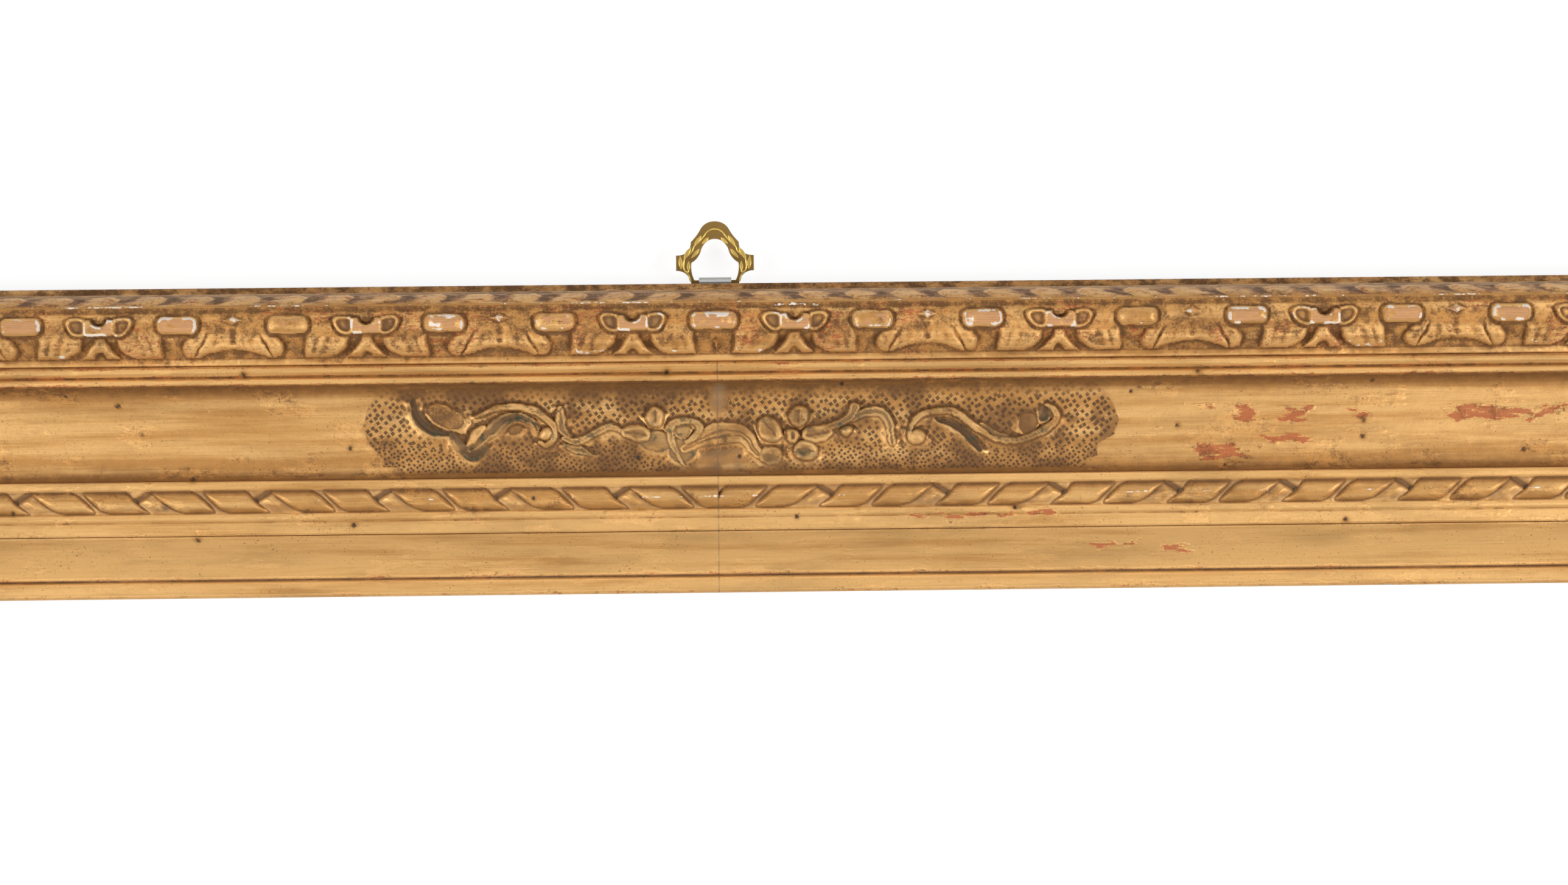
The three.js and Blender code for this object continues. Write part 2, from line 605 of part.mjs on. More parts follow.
// Stamped ring: a band of even thickness with a square tab on each side and a bar at its foot
function ring() {
  const halfBar = RING_BAR_HEIGHT / 2;
  const outline = mirroredOutline(new THREE.Shape(), RING_FOOT_HALF_WIDTH, -halfBar, ringSide());
  const eye = mirroredOutline(new THREE.Path(), RING_EYE_FOOT_HALF_WIDTH, halfBar, eyeSide());
  outline.holes.push(eye);
  const plate = new THREE.ExtrudeGeometry(outline, {
    depth: RING_THICKNESS,
    bevelEnabled: false,
    curveSegments: CURVE_STEPS,
  });
  plate.rotateX(Math.PI / 2);
  plate.translate(0, RING_THICKNESS / 2, 0);
  return plate;
}

// Curves of the ring's right side from its foot up to its top, each a control point and an end point
function ringSide() {
  const crownBend = (RING_CUSP_HALF_WIDTH + 2 * RING_CROWN_HALF_WIDTH) / 3;
  const crownRise = (RING_CUSP_HEIGHT + RING_CROWN_HEIGHT) / 2;
  return [
    [RING_FOOT_HALF_WIDTH + RING_FOOT_FLARE, RING_TAB_LOW, RING_TAB_HALF_WIDTH, RING_TAB_LOW],
    [RING_TAB_HALF_WIDTH, RING_TAB_LOW, RING_TAB_HALF_WIDTH, RING_TAB_HIGH],
    [RING_CUSP_HALF_WIDTH, RING_TAB_HIGH, RING_CUSP_HALF_WIDTH, RING_CUSP_HEIGHT],
    [crownBend, crownRise, RING_CROWN_HALF_WIDTH, RING_CROWN_HEIGHT],
    [(2 * RING_CROWN_HALF_WIDTH) / 3, RING_TOP, 0, RING_TOP],
  ];
}

// Curves of the eye's right side from its foot up to its top
function eyeSide() {
  const sideMiddle = RING_EYE_SHOULDER / 2;
  const neckBend = (RING_EYE_HALF_WIDTH + 4 * RING_EYE_NECK_HALF_WIDTH) / 5;
  const neckRise = (2 * RING_EYE_SHOULDER + RING_EYE_NECK_HEIGHT) / 3;
  return [
    [RING_EYE_HALF_WIDTH + RING_EYE_BULGE, sideMiddle, RING_EYE_HALF_WIDTH, RING_EYE_SHOULDER],
    [neckBend, neckRise, RING_EYE_NECK_HALF_WIDTH, RING_EYE_NECK_HEIGHT],
    [(2 * RING_EYE_NECK_HALF_WIDTH) / 3, RING_EYE_TOP, 0, RING_EYE_TOP],
  ];
}

// A closed outline that is the same on both sides of x = 0, from a level foot and its right side's curves
function mirroredOutline(path, footHalfWidth, foot, curves) {
  path.moveTo(-footHalfWidth, foot);
  path.lineTo(footHalfWidth, foot);
  for (const [bendX, bendY, endX, endY] of curves) path.quadraticCurveTo(bendX, bendY, endX, endY);
  const starts = [[footHalfWidth, foot], ...curves.map((curve) => curve.slice(2))];
  for (let i = curves.length - 1; i >= 0; i--) {
    const [bendX, bendY] = curves[i];
    path.quadraticCurveTo(-bendX, bendY, -starts[i][0], starts[i][1]);
  }
  path.closePath();
  return path;
}

// The scene: one group for each side of the frame, turned about Y, with the top side unturned
const frame = new THREE.Group();

function addMesh(parent, name, geometry, finish) {
  const mesh = new THREE.Mesh(geometry, new THREE.MeshStandardMaterial(finish));
  mesh.name = name;
  parent.add(mesh);
  return mesh;
}

const across = { length: outerWidth, reach: outerHeight / 2, spliced: true };
const upright = { length: outerHeight, reach: outerWidth / 2, spliced: false };
const sides = [
  { name: "top", turn: 0, upsideDown: false, ...across },
  { name: "right", turn: Math.PI / 2, upsideDown: false, ...upright },
  { name: "bottom", turn: Math.PI, upsideDown: true, ...across },
  { name: "left", turn: -Math.PI / 2, upsideDown: false, ...upright },
];

// The mitre key pockets at both ends of a side, in that side's own frame
function keyPockets(side) {
  const right = mitreKey(GLUE_LINE, -GLUE_LINE);
  const left = mitreKey(GLUE_LINE, -GLUE_LINE).rotateY(-Math.PI / 2);
  const half = side.length / 2;
  return [right.translate(half, 0, side.reach), left.translate(-half, 0, side.reach)];
}

// Where the splice's screws and dowels sit, in the side's own frame
function plateScrewPlaces(side) {
  const middle = side.reach - PLATE_EDGE - PLATE_WIDTH / 2;
  const x = PLATE_LENGTH / 2 - PLATE_SCREW_INSET_X;
  const z = PLATE_WIDTH / 2 - PLATE_SCREW_INSET_Z;
  return [[-x, middle + z], [x, middle + z], [-x, middle - z], [x, middle - z]];
}

function dowelPlaces(side) {
  const innerDowelInset = PLATE_EDGE + PLATE_WIDTH - INNER_DOWEL_FROM_PLATE_EDGE;
  return [
    { name: "outer", z: side.reach - OUTER_DOWEL_INSET, y: -OUTER_DOWEL_HEIGHT },
    { name: "inner", z: side.reach - innerDowelInset, y: -INNER_DOWEL_HEIGHT },
  ];
}

// The lengths that a side is made in, each with its two ends and the hands of carving on it.
// They are named as seen from the front, where an upside down side has its left and right changed over.
function lengthsOf(side) {
  const half = side.length / 2 - GLUE_LINE / 2;
  const leftMitre = { at: -half, slope: 1 };
  const rightMitre = { at: half, slope: -1 };
  if (!side.spliced) return [{ name: "", left: leftMitre, right: rightMitre, hands: [-1, 1] }];
  const splice = GLUE_LINE / 2;
  const [low, high] = side.upsideDown ? ["_right", "_left"] : ["_left", "_right"];
  return [
    { name: low, left: leftMitre, right: { at: -splice, slope: 0 }, hands: [-1] },
    { name: high, left: { at: splice, slope: 0 }, right: rightMitre, hands: [1] },
  ];
}

// All the carving on one length of a side
function carvingOf(side, length) {
  const start = side.spliced ? GLUE_LINE / 2 : -GLUE_LINE;
  const outEnd = side.length / 2;
  return length.hands.flatMap((hand) => {
    const firstKnot = side.spliced && hand < 0 ? FIRST_KNOT_LEFT : FIRST_KNOT_RIGHT;
    const firstTurn = side.spliced && hand < 0 ? FIRST_TURN_LEFT : FIRST_TURN_RIGHT;
    const pitch = side.spliced && hand < 0 ? TURN_PITCH_LEFT : TURN_PITCH_RIGHT;
    return [
      ...torusCarving(side.reach, hand, start, outEnd, firstKnot),
      ...stickLengths(side.reach, hand, start, outEnd, firstTurn, pitch),
    ];
  });
}

// Two pins for each length of slip, near its ends
function pinPlaces(side, length) {
  const z = side.reach - slipAt - GLUE_LINE - PIN_INSET;
  const y = -(coveHeight(PIN_INSET) - PIN_SINK);
  const inset = (end) => PIN_FROM_END + Math.abs(end.slope) * railWidth;
  return [
    { x: length.left.at + inset(length.left), y, z },
    { x: length.right.at - inset(length.right), y, z },
  ];
}

for (const side of sides) {
  const group = new THREE.Group();
  group.rotation.y = side.turn;
  frame.add(group);

  const cutters = keyPockets(side);
  if (side.spliced) {
    const plateMiddle = side.reach - PLATE_EDGE - PLATE_WIDTH / 2;
    cutters.push(splicePlate(GLUE_LINE, -GLUE_LINE).translate(0, 0, plateMiddle));
    for (const [x, z] of plateScrewPlaces(side)) {
      cutters.push(countersunkScrew(SCREW_CLEARANCE).translate(x, -PLATE_RECESS, z));
    }
    for (const place of dowelPlaces(side)) {
      cutters.push(dowel(GLUE_LINE).translate(0, place.y, place.z));
    }
  }

  for (const length of lengthsOf(side)) {
    const pins = pinPlaces(side, length);
    const pinHoles = pins.map(({ x, y, z }) => pinAt(x, y, z, SCREW_CLEARANCE));
    const moulding = lengthOf(railSection(), side.reach, length.left, length.right);
    const rail = cut(join(moulding, carvingOf(side, length)), [...cutters, ...pinHoles]);
    addMesh(group, `${side.name}_rail${length.name}`, rail, GILDING);
    const slip = lengthOf(slipSection(), side.reach, length.left, length.right);
    addMesh(group, `${side.name}_sight_slip${length.name}`, cut(slip, pinHoles), GILDING);
    pins.forEach(({ x, y, z }, i) => {
      addMesh(group, `${side.name}_slip_pin${length.name}_${i + 1}`, pinAt(x, y, z, 0), IRON);
    });
  }

  if (side.spliced) addSplice(group, side);
}

// A pin driven from the front: its head faces -Y
function pinAt(x, y, z, clearance) {
  const shape = pin(clearance).rotateX(Math.PI);
  if (clearance > 0) {
    const radius = PIN_RADIUS + clearance;
    const wayIn = turned([[0, 0], [radius, 0], [radius, 2 * PIN_SINK], [0, 2 * PIN_SINK]]);
    return geometryOf(solidOf(shape).add(solidOf(wayIn.rotateX(Math.PI)))).translate(x, y, z);
  }
  return shape.translate(x, y, z);
}

// The plate, its screws and the dowels that join the two halves of a rail
function addSplice(group, side) {
  const plateMiddle = side.reach - PLATE_EDGE - PLATE_WIDTH / 2;
  const holes = plateScrewPlaces(side).map(([x, z]) =>
    countersunkScrew(SCREW_CLEARANCE).translate(x, -PLATE_RECESS, z),
  );
  if (side.name === "top") {
    for (const drop of STRAP_SCREW_DROPS) {
      const z = side.reach + LOOP_ABOVE_EDGE - drop;
      holes.push(strapScrew(SCREW_CLEARANCE).translate(0, strapFace(), z));
    }
  }
  const plate = splicePlate(0, PLATE_RECESS).translate(0, 0, plateMiddle);
  addMesh(group, `${side.name}_splice_plate`, cut(plate, holes), BEECH);
  plateScrewPlaces(side).forEach(([x, z], i) => {
    const slot = screwSlot(PLATE_SCREW_HEAD_RADIUS, 0, SLOT_WIDTH, SLOT_DEPTH);
    const slotted = cut(countersunkScrew(0), [slot]);
    const screw = addMesh(group, `${side.name}_plate_screw_${i + 1}`, slotted, IRON);
    screw.position.set(x, -PLATE_RECESS, z);
  });
  for (const place of dowelPlaces(side)) {
    const rod = addMesh(group, `${side.name}_splice_dowel_${place.name}`, dowel(0), BEECH);
    rod.position.set(0, place.y, place.z);
  }
}

// The strap's outer face, where its screw heads sit, above the back of the frame
function strapFace() {
  return STRAP_GAP + 2 * STRAP_THICKNESS + STRAP_LEAF_GAP;
}

// Mitre keys, one at each corner
sides.forEach((side, i) => {
  const corner = new THREE.Group();
  corner.rotation.y = side.turn;
  frame.add(corner);
  const names = ["top_right", "bottom_right", "bottom_left", "top_left"];
  const key = addMesh(corner, `mitre_key_${names[i]}`, mitreKey(0, KEY_RECESS), HARDWOOD);
  key.position.set(side.length / 2, 0, side.reach);
});

// Hanger on the back of the top rail
const hanger = new THREE.Group();
const ringAxisHeight = outerHeight / 2 + LOOP_ABOVE_EDGE;
const ringAxisBack = STRAP_GAP + LOOP_RADIUS;
hanger.position.set(0, ringAxisBack, ringAxisHeight);
frame.add(hanger);
addMesh(hanger, "hanger_strap", strap(), PLATED_STEEL);
addMesh(hanger, "hanger_ring", ring(), BRASS);
STRAP_SCREW_DROPS.forEach((drop, i) => {
  const top = STRAP_SCREW_HEAD_HEIGHT;
  const slot = screwSlot(STRAP_SCREW_HEAD_RADIUS, top, SCREW_SLOT_WIDTH, SCREW_SLOT_DEPTH);
  const screw = addMesh(hanger, `hanger_screw_${i + 1}`, cut(strapScrew(0), [slot]), PLATED_STEEL);
  screw.position.set(0, strapFace() - ringAxisBack + GLUE_LINE, -drop);
});

// The top of the ring's eye, where the frame's weight rests, is the origin
frame.position.set(0, -ringAxisBack, -(ringAxisHeight + RING_EYE_TOP));

const part = new THREE.Group();
part.add(frame);

export default part;
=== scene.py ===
"""A carved and gilded picture frame, dressed over its wooden solids.

The rails and slips of the frame stay as the wood. Each length of moulding is covered by skins of gesso
and gold, which carry the carving: an outer torus of bars, knots and leaves, a hollow with two beads and
a punched cartouche, a ribbon wound round a stick, and the cove and bead at the sight edge.
Lengths in the carving are millimetres, and a finished piece is in metres.
"""

import json
import math
from dataclasses import dataclass
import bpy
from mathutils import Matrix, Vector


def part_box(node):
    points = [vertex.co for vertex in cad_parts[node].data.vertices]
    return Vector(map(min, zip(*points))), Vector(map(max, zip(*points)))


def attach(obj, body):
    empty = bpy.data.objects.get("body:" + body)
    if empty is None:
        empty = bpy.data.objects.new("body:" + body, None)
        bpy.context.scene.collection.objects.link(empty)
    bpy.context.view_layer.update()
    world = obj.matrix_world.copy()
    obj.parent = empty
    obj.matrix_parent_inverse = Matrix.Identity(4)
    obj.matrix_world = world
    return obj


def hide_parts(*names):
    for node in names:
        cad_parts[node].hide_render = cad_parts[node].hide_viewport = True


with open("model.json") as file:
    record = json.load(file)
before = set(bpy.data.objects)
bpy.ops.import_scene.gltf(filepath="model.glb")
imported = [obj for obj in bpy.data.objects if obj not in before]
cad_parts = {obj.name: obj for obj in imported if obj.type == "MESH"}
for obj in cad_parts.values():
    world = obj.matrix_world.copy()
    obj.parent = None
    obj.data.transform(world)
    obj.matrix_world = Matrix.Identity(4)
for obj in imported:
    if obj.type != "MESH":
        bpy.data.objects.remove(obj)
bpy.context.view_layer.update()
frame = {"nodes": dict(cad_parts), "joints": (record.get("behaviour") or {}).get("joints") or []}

from types import SimpleNamespace

import bpy
import numpy as np
from bpy.props import FloatProperty, FloatVectorProperty, PointerProperty
from mathutils import Matrix, Vector

bl_info = {
    "name": "Gilded Frame",
    "version": (1, 0, 0),
    "blender": (4, 5, 0),
    "location": "View3D > Sidebar > Frame",
    "description": "Carved gilding, fittings and studio for a picture frame",
    "category": "Object",
}

MM = 0.001
RING_AXIS = Vector(frame["joints"][0]["pos_m"])

# The frame's place, from its solids
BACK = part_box("left_rail")[1].y / MM
LEFT_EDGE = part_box("left_rail")[0].x / MM
RIGHT_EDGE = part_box("right_rail")[1].x / MM
BOTTOM_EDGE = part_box("bottom_rail_left")[0].z / MM
TOP_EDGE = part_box("top_rail_left")[1].z / MM
CENTRE_Z = (TOP_EDGE + BOTTOM_EDGE) / 2
HALF_WIDTH = (RIGHT_EDGE - LEFT_EDGE) / 2
HALF_HEIGHT = (TOP_EDGE - BOTTOM_EDGE) / 2

# Lines of the moulding, from the outer edge inwards
LEAF_BAND_AT = 2.2
ARRIS_AT = 6.7
GROUND_FILLET_AT = 23.2
BEADS_AT = 25.5
HOLLOW_AT = 32.0
RIBBON_AT = 65.2
PLAIN_BAND_AT = 72.7
SLIP_AT = 80.0

# Where the carving starts on each half of a spliced side, outwards from its middle
FIRST_KNOT_LEFT = 27.0
FIRST_KNOT_RIGHT = 24.9
FIRST_TURN_LEFT = 10.0
FIRST_TURN_RIGHT = 13.9
TURN_PITCH_LEFT = 19.2
TURN_PITCH_RIGHT = 18.7

# Section lines of the four skins: (across, height), from the outer edge inwards
OUTER_SECTION = (
    (-0.3, 10.8), (-0.3, 12.3), (0.1, 12.8), (1.6, 14.6), (1.8, 15.2), (2.1, 19.5), (2.9, 25.5),
    (4.2, 31.5), (5.7, 37.2), (6.05, 38.6), (6.5, 39.1), (7.0, 39.0), (25.45, 39.0),
)
OUTER_BACK = ((25.0, 32.0), (16.0, 36.5), (9.5, 36.0), (5.5, 24.0), (1.5, 13.0), (0.4, 11.2))
HOLLOW_SECTION = (
    (25.4, 33.6), (25.6, 34.6), (26.2, 35.6), (27.0, 36.0), (27.9, 35.7), (28.6, 34.6), (28.95, 33.3),
    (29.15, 33.2), (29.5, 33.9), (30.1, 34.5), (30.8, 34.6), (31.4, 34.3), (31.8, 33.5), (32.0, 32.4),
    (32.2, 31.0), (32.6, 29.6), (33.3, 28.3), (34.4, 27.1), (35.9, 26.3), (37.6, 25.95), (40.0, 25.9),
    (56.0, 25.9), (58.0, 26.0), (59.6, 26.5), (60.8, 27.3), (61.6, 28.3), (62.0, 29.2), (62.2, 29.9),
)
HOLLOW_BACK = ((62.5, 28.5), (62.5, 24.4), (32.5, 24.4), (31.0, 31.5), (26.0, 32.3))
RIBBON_SECTION = (
    (62.25, 29.4), (62.4, 30.2), (62.9, 30.7), (63.6, 30.8), (64.5, 30.7), (65.2, 30.4), (66.0, 30.0),
    (72.0, 29.9), (72.8, 29.8), (73.3, 30.3), (74.1, 30.5), (74.9, 30.3), (75.3, 29.9), (75.6, 29.8),
    (76.0, 30.0), (79.2, 30.0), (79.75, 29.8), (79.92, 29.2),
)
RIBBON_BACK = ((79.5, 27.5), (63.0, 27.5))
SIGHT_SECTION = (
    (79.99, 27.6), (80.1, 28.4), (80.6, 28.4), (82.0, 27.3), (84.0, 25.8), (86.5, 24.2), (89.0, 22.9),
    (91.5, 21.8), (93.6, 21.0), (94.1, 20.8), (94.3, 19.9), (94.5, 19.5), (94.75, 20.0), (95.3, 20.8),
    (96.3, 21.1), (98.3, 21.1), (99.5, 20.7), (100.1, 19.8), (100.3, 18.6), (100.3, 14.2),
)
SIGHT_BACK = ((99.4, 14.9), (93.0, 17.0), (81.0, 24.0))

# The torus: its crest, the ground that its leaves are cut down to, and its motifs
CREST_LINE = (
    (6.9, 39.0), (7.6, 39.1), (8.2, 39.5), (9.0, 40.2), (10.0, 40.5), (15.0, 40.7), (17.0, 41.0),
    (19.0, 40.6), (21.0, 39.4), (22.3, 38.2), (22.9, 36.4), (23.3, 34.6), (25.2, 34.5), (25.5, 34.0),
)
GROUND_LINE = (
    (9.0, 40.2), (14.5, 40.2), (16.0, 39.4), (19.0, 37.3), (23.2, 34.6), (25.2, 34.5), (25.5, 34.0),
)
WOOD_LINE = ((6.9, 38.0), (9.0, 39.2), (16.0, 39.2), (23.2, 34.3), (25.5, 33.6))
MOTIF_LINE = 12.5
BAR_FROM_KNOT = 24.9
BAR_CORNER = 2.3
BAR_CUSHION = 2.8
BAR_TOP = 43.4
KNOT_LINE = 13.05
KNOT_REACH = 14
KNOT_WAIST = 4.6
KNOT_BLOCK = (4.9, 2.6, 1.1)
KNOT_BITE = (9.9, 2.75)
KNOT_TOP = BAR_TOP - 0.3
KNOT_EAR = ((4.3, 10.2), (9.2, 9.6), (11.0, 11.0), (9.6, 14.6), (7.6, 16.0), (4.3, 16.0))
EAR_TOP = 42.4
EAR_SCOOP = 1.3
LOZENGE_HALF_AXES = (3.2, 1.8)
LOZENGE_LINE = 11.0
LOZENGE_HEIGHT = 2.0

# The leaves under the crest, over half a period from a knot: places are (along, across), and a span says
# where a form starts, is full, fades and ends
LEAVES_FROM = 15.6
LEAF_SPRING = 16.5
LEAF_DROP = 6.5
LEAF_FOOT = 23.0
LEAF_CUSHION = 1.9
HANGING_SPAN = (15.2, 17.5, 21.5, 22.9)
LOBE_SPAN = (5.7, 19.2)
LOBE_HOOK = 6.0
LOBE_GROOVE = (12.8, 19)
LEG_HALF_WIDTH = 1.5
LEG_SPREAD = 5.0
LEG_ARCH_FOOT = 23.4
LEG_ARCH_AXES = (2.0, 2.5)
SCROLL_LINE = ((31.9, 14.5), (31.3, 17.5), (29.4, 20.0))
SCROLL_HALF_WIDTH = 3.0
PANEL_EDGE = (33.4, 16.8)
PANEL_LEAN = 0.55
PANEL_FOLD = (37.0, 17)
PANEL_MIDDLE_SPAN = (12.8, 14.8, 18.6, 20.2)
PANEL_FOOT = 20.2
PANEL_ARCH_RISE = 2.6
PANEL_ARCH_REACH = 11

# The leaves on the outer band, in shares of its height and of their pitch
BAND_LEAF_HEIGHT = 0.8
BAND_LEAF_LEAN = 0.22
BAND_LEAF_SPAN = (0.16, 0.4, 0.84, 1.0)

# The ribbon: its face, the stick in it, and the fold of a wide turn
RIBBON_FACE = 30.1
STICK_FOOT = 28.7
STICK_HEIGHT = 2.9
STICK_CORNER = 1.5
FOLD_AT = 3.9
FOLD_LEAN = 2.67
FOLD_STRETCH = 2.85
BAND_STEP_AT = 75.55

# Where painted shade and toning lie on the plain members, and where their crests are rubbed: (across, width,
# strength)
BETWEEN_BEADS = 29.05
HOLLOW_SHADE_TO = 37.2
LOWER_HOLLOW = (49, 59)
HOLLOW_END = (58.8, 61.2)
SIGHT_LINE = 100.2
BEAD_RUBS = ((26.0, 0.6, 0.24), (28.7, 0.4, 0.26), (31.4, 0.5, 0.26))
SIGHT_RUBS = ((94.0, 0.8, 0.22), (99.6, 0.7, 0.2))

# The punched cartouche: its two ends as (across, along), and the ornament that stands in it
CARTOUCHE_SPAN = (33.2, 60.6)
PUNCH_FADE = (34.0, 38.5)
CARTOUCHE_LEFT_END = (
    (33.0, -106.5), (35.0, -109.5), (40.0, -112.9), (45.6, -114.2), (51.0, -112.3), (55.7, -107.9),
    (58.2, -107.9), (58.4, -103.0), (61.6, -100.9),
)
CARTOUCHE_RIGHT_END = (
    (33.0, 121.0), (34.3, 123.4), (40.0, 128.0), (45.3, 129.9), (50.2, 128.3), (53.1, 122.8),
    (57.0, 122.8), (58.0, 119.3), (61.3, 118.1),
)


@dataclass
class Scroll:
    """A carved band: its line as (along, across), its half widths along it, its height, how deep its
    middle is scooped out, and how dark it has become"""

    line: tuple
    widths: tuple
    height: float
    scoop: float
    stain: float


@dataclass
class Petal:
    """A carved petal: its middle, half axes, turn in degrees, height, scoop and stain"""

    middle: tuple
    axes: tuple
    turn: float
    height: float
    scoop: float
    stain: float


SCROLLS = (
    Scroll(((-98.5, 37.6), (-97.4, 41.2), (-94.4, 45.3), (-90.6, 47.4), (-85.6, 47.9)),
           (1.2, 1.7, 1.5, 0.9), 0.9, 1.6, 1.0),
    Scroll(((-85.4, 48.1), (-82.4, 52.4), (-78.6, 54.7), (-74.9, 52.7)),
           (1.0, 1.8, 2.0, 1.2), 1.2, 0.3, 0.75),
    Scroll(((-77.9, 42.5), (-73.4, 40.3), (-67.4, 39.1), (-61.4, 39.7), (-56.1, 42.4), (-52.8, 46.2),
            (-52.9, 50.0), (-55.4, 51.7), (-57.4, 50.8)), (0.6, 1.2, 1.4, 1.3, 1.1, 0.8), 1.9, 0.1, 0.2),
    Scroll(((-79.4, 52.6), (-73.4, 47.4), (-68.9, 43.6), (-64.4, 42.5), (-59.9, 44.0), (-58.4, 47.0)),
           (1.5, 2.4, 1.9, 1.5, 1.2, 0.7), 1.3, 0.7, 0.5),
    Scroll(((-51.0, 39.6), (-50.7, 43.5), (-49.9, 46.6), (-48.0, 48.8)),
           (0.8, 1.9, 1.7, 1.0), 1.7, 0.35, 0.25),
    Scroll(((-49.4, 49.9), (-44.9, 50.6), (-40.4, 48.9), (-36.6, 46.6), (-34.5, 45.3)),
           (1.0, 1.3, 1.2, 1.1, 0.7), 1.6, 0.2, 0.35),
    Scroll(((-49.4, 52.2), (-44.5, 53.6), (-40.4, 55.2)), (0.8, 1.6, 0.6), 1.2, 0.2, 0.45),
    Scroll(((-36.0, 46.4), (-33.4, 46.4), (-31.0, 47.6)), (0.7, 1.1, 0.9), 1.3, 0.0, 0.3),
    Scroll(((-15.6, 46.9), (-14.1, 45.2), (-11.1, 44.5), (-7.4, 45.0), (-6.0, 47.2), (-7.4, 49.6),
            (-9.6, 50.8)), (1.6, 1.3, 1.2, 1.3, 1.2, 0.9), 1.6, 0.1, 0.4),
    Scroll(((-15.6, 47.3), (-14.1, 53.3), (-10.6, 58.8)), (1.4, 1.1, 0.5), 1.1, 0.0, 0.4),
    Scroll(((-10.5, 53.5), (-5.0, 50.5), (0.0, 48.8), (5.2, 48.5), (9.0, 50.2), (11.5, 53.5), (13.0, 56.0)),
           (1.6, 2.6, 3.8, 3.4, 3.0, 2.2, 1.2), 1.2, 0.3, 0.1),
    Scroll(((35.4, 47.3), (40.6, 45.2), (43.2, 42.7), (44.5, 40.5)), (1.1, 1.4, 1.5, 1.6), 1.7, 0.25, 0.25),
    Scroll(((43.2, 44.4), (48.4, 42.3), (52.7, 42.3), (55.4, 45.4), (56.1, 50.1), (56.5, 52.3)),
           (1.1, 1.7, 1.8, 1.5, 1.1, 1.0), 1.6, 0.45, 0.35),
    Scroll(((62.4, 51.0), (62.2, 48.0), (63.9, 45.0), (67.4, 42.9), (73.4, 42.0), (78.6, 43.4), (83.3, 47.4),
            (88.1, 50.4)), (0.7, 0.8, 1.0, 1.2, 1.3, 1.3, 1.2, 0.9), 1.9, 0.1, 0.2),
    Scroll(((70.8, 44.9), (77.7, 47.3), (81.6, 50.8), (84.6, 54.8)), (0.5, 1.4, 1.7, 0.9), 0.8, 1.6, 1.0),
    Scroll(((88.1, 50.5), (91.9, 51.6), (96.7, 51.7), (101.9, 50.3), (106.2, 48.5), (109.5, 45.1),
            (108.9, 41.8), (106.2, 40.5)), (0.9, 1.3, 1.3, 1.3, 1.4, 1.2, 1.0, 0.7), 1.8, 0.15, 0.2),
    Scroll(((85.0, 46.6), (89.8, 49.2), (94.0, 50.6)), (0.6, 0.9, 0.6), 1.0, 0.0, 0.2),
)
PETALS = (
    Petal((-87.6, 42.4), (6.6, 3.6), 28, 0.6, 0.0, 0.05),
    Petal((-77.9, 48.4), (4.8, 1.6), -48, 1.6, 0.1, 0.05),
    Petal((-55.4, 48.2), (2.1, 2.2), 0, 2.2, 0.0, 0.1),
    Petal((-65.2, 47.0), (2.4, 1.5), -15, 0.5, 0.0, 0.0),
    Petal((-26.5, 48.2), (5.2, 2.8), 8, 1.7, 0.4, 0.2),
    Petal((-20.1, 43.2), (3.2, 3.8), 0, 2.0, 0.4, 0.15),
    Petal((-11.2, 47.6), (2.6, 2.4), 0, 0.7, 0.0, 0.35),
    Petal((-20.0, 51.0), (6.0, 3.4), 10, 0.7, 0.0, 0.3),
    Petal((-11.5, 54.0), (4.5, 4.2), 0, 0.7, 0.0, 0.35),
    Petal((16.9, 47.6), (4.4, 3.5), 50, 1.9, 0.45, 0.15),
    Petal((26.4, 43.3), (3.3, 3.7), 0, 1.9, 0.45, 0.1),
    Petal((32.4, 49.0), (5.4, 3.1), -8, 1.8, 0.45, 0.15),
    Petal((28.5, 54.5), (4.3, 3.4), 8, 1.8, 0.45, 0.15),
    Petal((16.9, 56.0), (3.9, 3.1), 0, 1.4, 0.35, 0.3),
    Petal((24.2, 49.8), (2.3, 2.5), 0, 2.4, 0.5, 0.2),
    Petal((41.5, 48.4), (1.9, 1.7), 0, 2.0, 0.0, 0.15),
    Petal((64.4, 50.2), (2.9, 2.7), 0, 1.9, 0.0, 0.1),
    Petal((100.4, 46.4), (3.6, 3.4), 0, 0.5, 0.0, 0.0),
    Petal((105.7, 43.4), (1.9, 3.0), 10, 0.5, 1.8, 0.95),
)

# Old holes of worm and nails on the top side: (along, across)
HOLES = (
    (-209.7, 34.6), (-192.8, 37.7), (-118.5, 52.2), (-168.7, 61.5), (-117.2, 76.9), (-167.5, 81.3),
    (-226.2, 71.9), (-151.5, 28.2), (-16.2, 28.8), (40.3, 33.1), (-25.8, 56.1), (7.0, 56.0),
    (-59.3, 68.9), (25.2, 75.8), (95.6, 73.4), (134.0, 36.4), (148.9, 47.5), (208.9, 51.8),
    (261.3, 56.7), (164.0, 60.4), (202.6, 78.6), (211.9, 33.8), (154.8, 30.3), (209.1, 46.5),
)
HOLE_RIM = (0.42, 0.75)
HOLE_HALO = 1.5
STREWN_HOLES = 16
STREWN_SPAN = (26, 92)
STREWN_FROM_CORNER = 100

# Wear beside the top side's seam: leaves chipped to either side, and the flaked arris, filler and repair
CHIPPED_LEFT = 62
CHIPPED_RIGHT = 24
FLAKED_SPAN = (14, 18, 33, 37)
FILLED_SPAN = (31.5, 33.5, 38, 46)
REPAIR_FROM = (47, 52)

